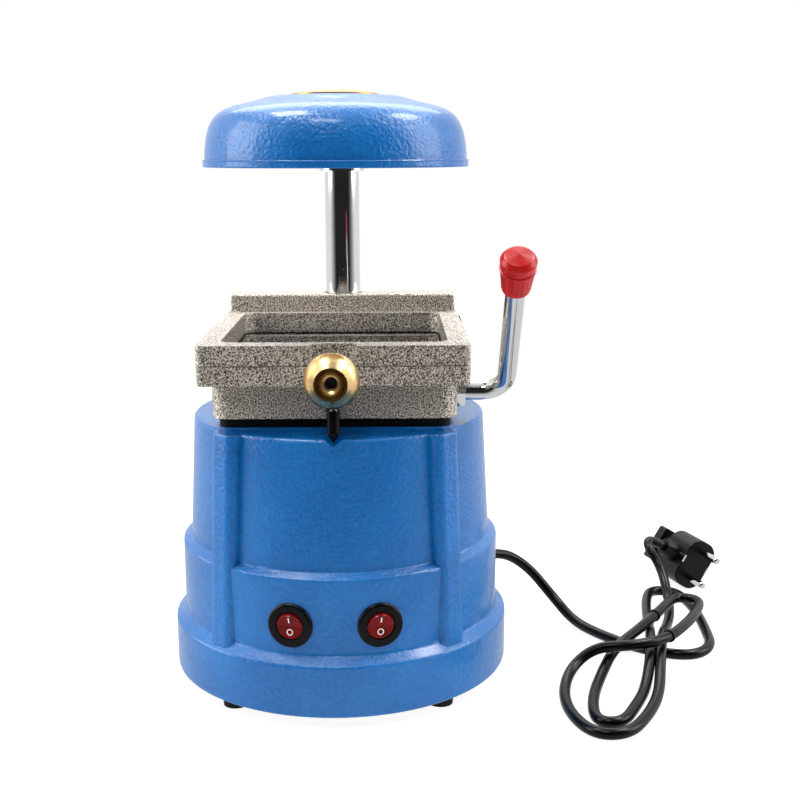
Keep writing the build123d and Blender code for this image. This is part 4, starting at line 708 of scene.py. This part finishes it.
# --- knurled ring behind the knob's belly
KNURL_R = 12.95
KNURL_L = 1.5
KNURL_OUT = 0.8
KNURL_RIDGES = 44
KNURL_DEPTH = 0.035
knurl = fluted(KNURL_R, KNURL_R, KNURL_L, KNURL_RIDGES, KNURL_DEPTH)
bmesh.ops.translate(knurl, vec=(0, 0, KNURL_OUT * MM), verts=knurl.verts)
knurl = stood(knurl, (0.0, KNOB_HIGH.y, BOLT_Z), Vector((0, -1, 0)))
finished("knob_knurl", knurl, BRASS, "knob")

# --- flutes and lip of the lever's grip
LEVER_LEAN = radians(38.0)
LEVER_WAY = Vector((0.0, -sin(LEVER_LEAN), cos(LEVER_LEAN)))
LEVER_R = 5.0
LEVER_ARM = 92.0
LEVER_LOW, LEVER_HIGH = box_mm("lift_lever")
LEVER_X = LEVER_HIGH.x - LEVER_R
LEVER_KNEE = Vector((LEVER_X, LEVER_HIGH.y - LEVER_R, LEVER_LOW.z + LEVER_R))
GRIP_SEATED = 16.5
GRIP_START = LEVER_KNEE + LEVER_WAY * (LEVER_ARM - GRIP_SEATED)
FLUTES_L = 12.0
FLUTES_LOW_R = 7.35
FLUTES_HIGH_R = 8.72
FLUTES_MIDDLE = 7.6
FLUTE_COUNT = 20
FLUTE_DEPTH = 0.045
LIP_PROFILE = [(8.5, -0.7), (9.05, -0.5), (9.2, 0.0), (9.05, 0.5), (8.5, 0.7)]
LIP_AT = 14.2
flutes = fluted(FLUTES_LOW_R, FLUTES_HIGH_R, FLUTES_L, FLUTE_COUNT, FLUTE_DEPTH)
flutes = stood(flutes, GRIP_START + LEVER_WAY * FLUTES_MIDDLE, LEVER_WAY)
finished("grip_flutes", flutes, GRIP_PVC, "carriage")
lip = turned(LIP_PROFILE, steps=64)
lip = stood(lip, GRIP_START + LEVER_WAY * LIP_AT, LEVER_WAY)
finished("grip_lip", lip, GRIP_PVC, "carriage")

# --- rolled bead along the top of the dome's lip
BEAD_PROFILE = [(-0.4, 3.0), (0.05, 3.2), (0.2, 3.6), (-0.1, 4.05), (-1.0, 4.1)]
DOME_LOW = box_mm("heater_dome")[0]
lip_bead = turned([(-DOME_LOW.y + out, DOME_LOW.z + up) for out, up in BEAD_PROFILE], steps=128)
finished("dome_lip_bead", lip_bead, ENAMEL, "head")

# --- seal and worked edge round the inside of the window
RAIL_W = 11.0
FRAME_LOW, FRAME_HIGH = box_mm("upper_frame")
WINDOW_HALF = FRAME_HIGH.x - RAIL_W
WINDOW_ROUND = 7.5
WINDOW_CORNER_STEPS = 6
BAND_DEPTH = 1.6


def window_ring(name, height, reach, thick, finish):
    """A thin round-cornered band that stands a little proud of the window's wall."""
    shape = bmesh.new()
    inner = []
    for quarter in range(4):
        diagonal = pi / 2 * quarter + pi / 4
        middle = Vector((cos(diagonal), sin(diagonal))) * (reach - WINDOW_ROUND) * 2**0.5
        for step in range(WINDOW_CORNER_STEPS + 1):
            turn = pi / 2 * (quarter + step / WINDOW_CORNER_STEPS)
            inner.append(middle + Vector((cos(turn), sin(turn))) * WINDOW_ROUND)
    rows = []
    low, high = height - thick / 2, height + thick / 2
    for grow, level in ((0.0, low), (0.0, high), (BAND_DEPTH, high), (BAND_DEPTH, low)):
        scale = (reach + grow) / reach
        places = [(p.x * scale * MM, p.y * scale * MM, level * MM) for p in inner]
        rows.append([shape.verts.new(place) for place in places])
    for row, following in zip(rows, rows[1:] + rows[:1]):
        for n in range(len(row)):
            m = (n + 1) % len(row)
            shape.faces.new((row[n], row[m], following[m], following[n]))
    bmesh.ops.recalc_face_normals(shape, faces=shape.faces)
    finished(name, shape, finish, "carriage")


SEAL_INSET = 0.6
SEAL_BELOW = 1.7
EDGE_INSET = 0.9
EDGE_BELOW = 3.2
window_ring(
    "window_seal",
    height=FRAME_LOW.z - SEAL_BELOW,
    reach=WINDOW_HALF - SEAL_INSET,
    thick=0.9,
    finish=NITRILE,
)
window_ring(
    "window_edge",
    height=FRAME_LOW.z - EDGE_BELOW,
    reach=WINDOW_HALF - EDGE_INSET,
    thick=1.0,
    finish=CHROME,
)


# --- I and O marks printed on the rockers
INK_LIFT = 0.06
INK_THICK = 0.05
CAST_FROM = 20


def printed(name, shape, node, middle, out, body):
    """Lays a flat shape, drawn about the origin with +Z out, on a rocker's face as white ink."""
    side = Vector((0, 0, 1)).cross(out).normalized()
    turn = Matrix((side, Vector((0, 0, 1)), out)).transposed().to_4x4()
    bmesh.ops.transform(shape, matrix=Matrix.Translation(Vector(middle) * MM) @ turn, verts=shape.verts)
    rocker_shape = bmesh.new()
    rocker_shape.from_mesh(frame["nodes"][node].data)
    skin = BVHTree.FromBMesh(rocker_shape)
    for vertex in shape.verts:
        hit = skin.ray_cast(vertex.co + out * CAST_FROM * MM, -out)[0]
        vertex.co = hit + out * INK_LIFT * MM
    rocker_shape.free()
    bmesh.ops.solidify(shape, geom=shape.faces, thickness=-INK_THICK * MM)
    bmesh.ops.recalc_face_normals(shape, faces=shape.faces)
    finished(name, shape, WHITE_INK, body)


def stroke(width, height):
    """A flat upright bar, divided so that it can follow a hollow face."""
    shape = bmesh.new()
    bmesh.ops.create_grid(shape, x_segments=2, y_segments=6, size=0.5)
    bmesh.ops.scale(shape, vec=(width * MM, height * MM, 1), verts=shape.verts)
    return shape


def ring(radius, width):
    """A flat ring."""
    shape = bmesh.new()
    bmesh.ops.create_circle(shape, segments=40, radius=(radius - width / 2) * MM)
    rim = bmesh.ops.extrude_edge_only(shape, edges=shape.edges)
    outer = [item for item in rim["geom"] if isinstance(item, bmesh.types.BMVert)]
    grow = (radius + width / 2) / (radius - width / 2)
    bmesh.ops.scale(shape, vec=(grow, grow, 1), verts=outer)
    return shape


SWITCH_LOW, SWITCH_HIGH = box_mm("switch_left")
SWITCH_Z = (SWITCH_LOW.z + SWITCH_HIGH.z) / 2
SWITCH_FACE_R = 88.9
SWITCH_ANGLE = 15.0
MARK_RISE = 3.5
for side, angle, body in (("left", -SWITCH_ANGLE, "rocker_a"), ("right", SWITCH_ANGLE, "rocker_b")):
    out = Vector((sin(radians(angle)), -cos(radians(angle)), 0.0))
    face = out * SWITCH_FACE_R
    above = (face.x, face.y, SWITCH_Z + MARK_RISE)
    below = (face.x, face.y, SWITCH_Z - MARK_RISE)
    bar = stroke(width=0.62, height=3.0)
    printed("mark_i_" + side, bar, "rocker_" + side, above, out, body)
    nought = ring(radius=1.5, width=0.42)
    printed("mark_o_" + side, nought, "rocker_" + side, below, out, body)

# --- two thin ties on the bundled lead
TIE_PROFILE = [(3.05, -0.7), (3.75, -0.7), (3.75, 0.7), (3.05, 0.7), (3.05, -0.7)]
# middle of each tie, and the way the lead runs there
TIES = {
    "lead_tie_left": ((190.9, 28.0, 14.0), (0.53, 0.85, 0.0)),
    "lead_tie_right": ((191.0, -12.1, 17.0), (-0.66, -0.75, 0.04)),
}
for name, (at, way) in TIES.items():
    band = stood(turned(TIE_PROFILE, steps=32), at, Vector(way))
    finished(name, band, SATIN_ABS, "base")

# ======================================================================
# Floor, lamps and surroundings
# ======================================================================
FLOOR_RADIUS = 0.95
floor_shape = bmesh.new()
bmesh.ops.create_circle(floor_shape, cap_ends=True, segments=96, radius=FLOOR_RADIUS)
floor_mesh = bpy.data.meshes.new("floor")
floor_shape.to_mesh(floor_mesh)
floor_shape.free()
floor = bpy.data.objects.new("floor", floor_mesh)
scene.collection.objects.link(floor)
paper, tree, output, place = material("white_paper_sweep")
rays = add(tree, "ShaderNodeLightPath")
matt = add(tree, "ShaderNodeBsdfDiffuse", {"Color": linear("#F6F6F6")})
# reflections see the paper darken towards the viewer
depth = add(tree, "ShaderNodeSeparateXYZ", {0: place}).outputs["Y"]
fade = add(
    tree,
    "ShaderNodeMapRange",
    {"Value": depth, "From Min": -0.5, "From Max": -0.13, "To Min": 0.04, "To Max": 0.8},
)
level = add(
    tree,
    "ShaderNodeMix",
    {0: rays.outputs["Is Camera Ray"], 2: fade.outputs[0], 3: 1.25},
)
glow = add(tree, "ShaderNodeEmission", {"Color": linear("#FFFFFF"), "Strength": level.outputs[0]})
share = add(
    tree,
    "ShaderNodeMath",
    {0: rays.outputs["Is Camera Ray"], 1: 0.7, 2: rays.outputs["Is Glossy Ray"]},
    operation="MULTIPLY_ADD",
)
mixed = add(tree, "ShaderNodeMixShader", {0: share.outputs[0], 1: matt.outputs[0], 2: glow.outputs[0]})
tree.links.new(mixed.outputs[0], output.inputs[0])
floor_mesh.materials.append(paper)

world = bpy.data.worlds.new("studio")
scene.world = world
world.use_nodes = True
tree = world.node_tree
tree.nodes.clear()
rays = add(tree, "ShaderNodeLightPath")
way = add(tree, "ShaderNodeTexCoord").outputs["Generated"]
ahead = add(tree, "ShaderNodeVectorMath", {0: way, 1: (0.0, -1.0, 0.0)}, operation="DOT_PRODUCT")
# mirrored surroundings: white walls at the sides and behind, a dark room towards the viewer
MIRRORED_LEVELS = ((0.0, 0.95), (0.30, 0.50), (0.55, 0.16), (0.70, 0.02))
dark_side = add(
    tree,
    "ShaderNodeValToRGB",
    {"Fac": ahead.outputs["Value"]},
    stops=[(position, (level, level, level, 1.0)) for position, level in MIRRORED_LEVELS],
)
white = add(tree, "ShaderNodeBackground", {"Color": linear("#FFFFFF"), "Strength": 1.0})
mirrored = add(
    tree,
    "ShaderNodeBackground",
    {"Color": dark_side.outputs[0], "Strength": 1.0},
)
soft = add(tree, "ShaderNodeBackground", {"Color": linear("#FFFFFF"), "Strength": 0.24})
glossy = add(
    tree,
    "ShaderNodeMath",
    {0: rays.outputs["Is Glossy Ray"], 1: rays.outputs["Is Transmission Ray"]},
    operation="MAXIMUM",
)
lit = add(
    tree,
    "ShaderNodeMixShader",
    {0: glossy.outputs[0], 1: soft.outputs[0], 2: mirrored.outputs[0]},
)
seen = add(
    tree,
    "ShaderNodeMixShader",
    {0: rays.outputs["Is Camera Ray"], 1: lit.outputs[0], 2: white.outputs[0]},
)
tree.links.new(seen.outputs[0], add(tree, "ShaderNodeOutputWorld").inputs[0])


def softbox(name, at, aim, width, height, watts):
    """A large area lamp in a soft box, aimed at a point of the object."""
    lamp = bpy.data.lights.new(name, "AREA")
    lamp.shape = "RECTANGLE"
    lamp.size = width
    lamp.size_y = height
    lamp.energy = watts
    made = bpy.data.objects.new(name, lamp)
    way = Vector(aim) - Vector(at)
    made.matrix_world = Matrix.Translation(at) @ way.to_track_quat("-Z", "Y").to_matrix().to_4x4()
    scene.collection.objects.link(made)


softbox("side_left", (-1.5, -0.08, 0.75), (0, 0, 0.17), 0.9, 1.1, 16.0)
softbox("side_right", (1.5, -0.08, 0.75), (0, 0, 0.17), 0.9, 1.1, 13.5)
softbox("over_left", (-0.45, 0.02, 1.35), (0, 0, 0.25), 0.42, 0.36, 12.0)
softbox("over_right", (0.80, 0.10, 1.30), (0, 0, 0.25), 0.42, 0.36, 11.0)
softbox("behind_high", (0.0, 1.1, 1.3), (0, 0, 0.25), 1.6, 0.6, 12.0)
softbox("front_high", (-0.15, -0.85, 1.5), (0, 0, 0.15), 0.5, 0.22, 6.0)

scene.view_settings.view_transform = "Standard"
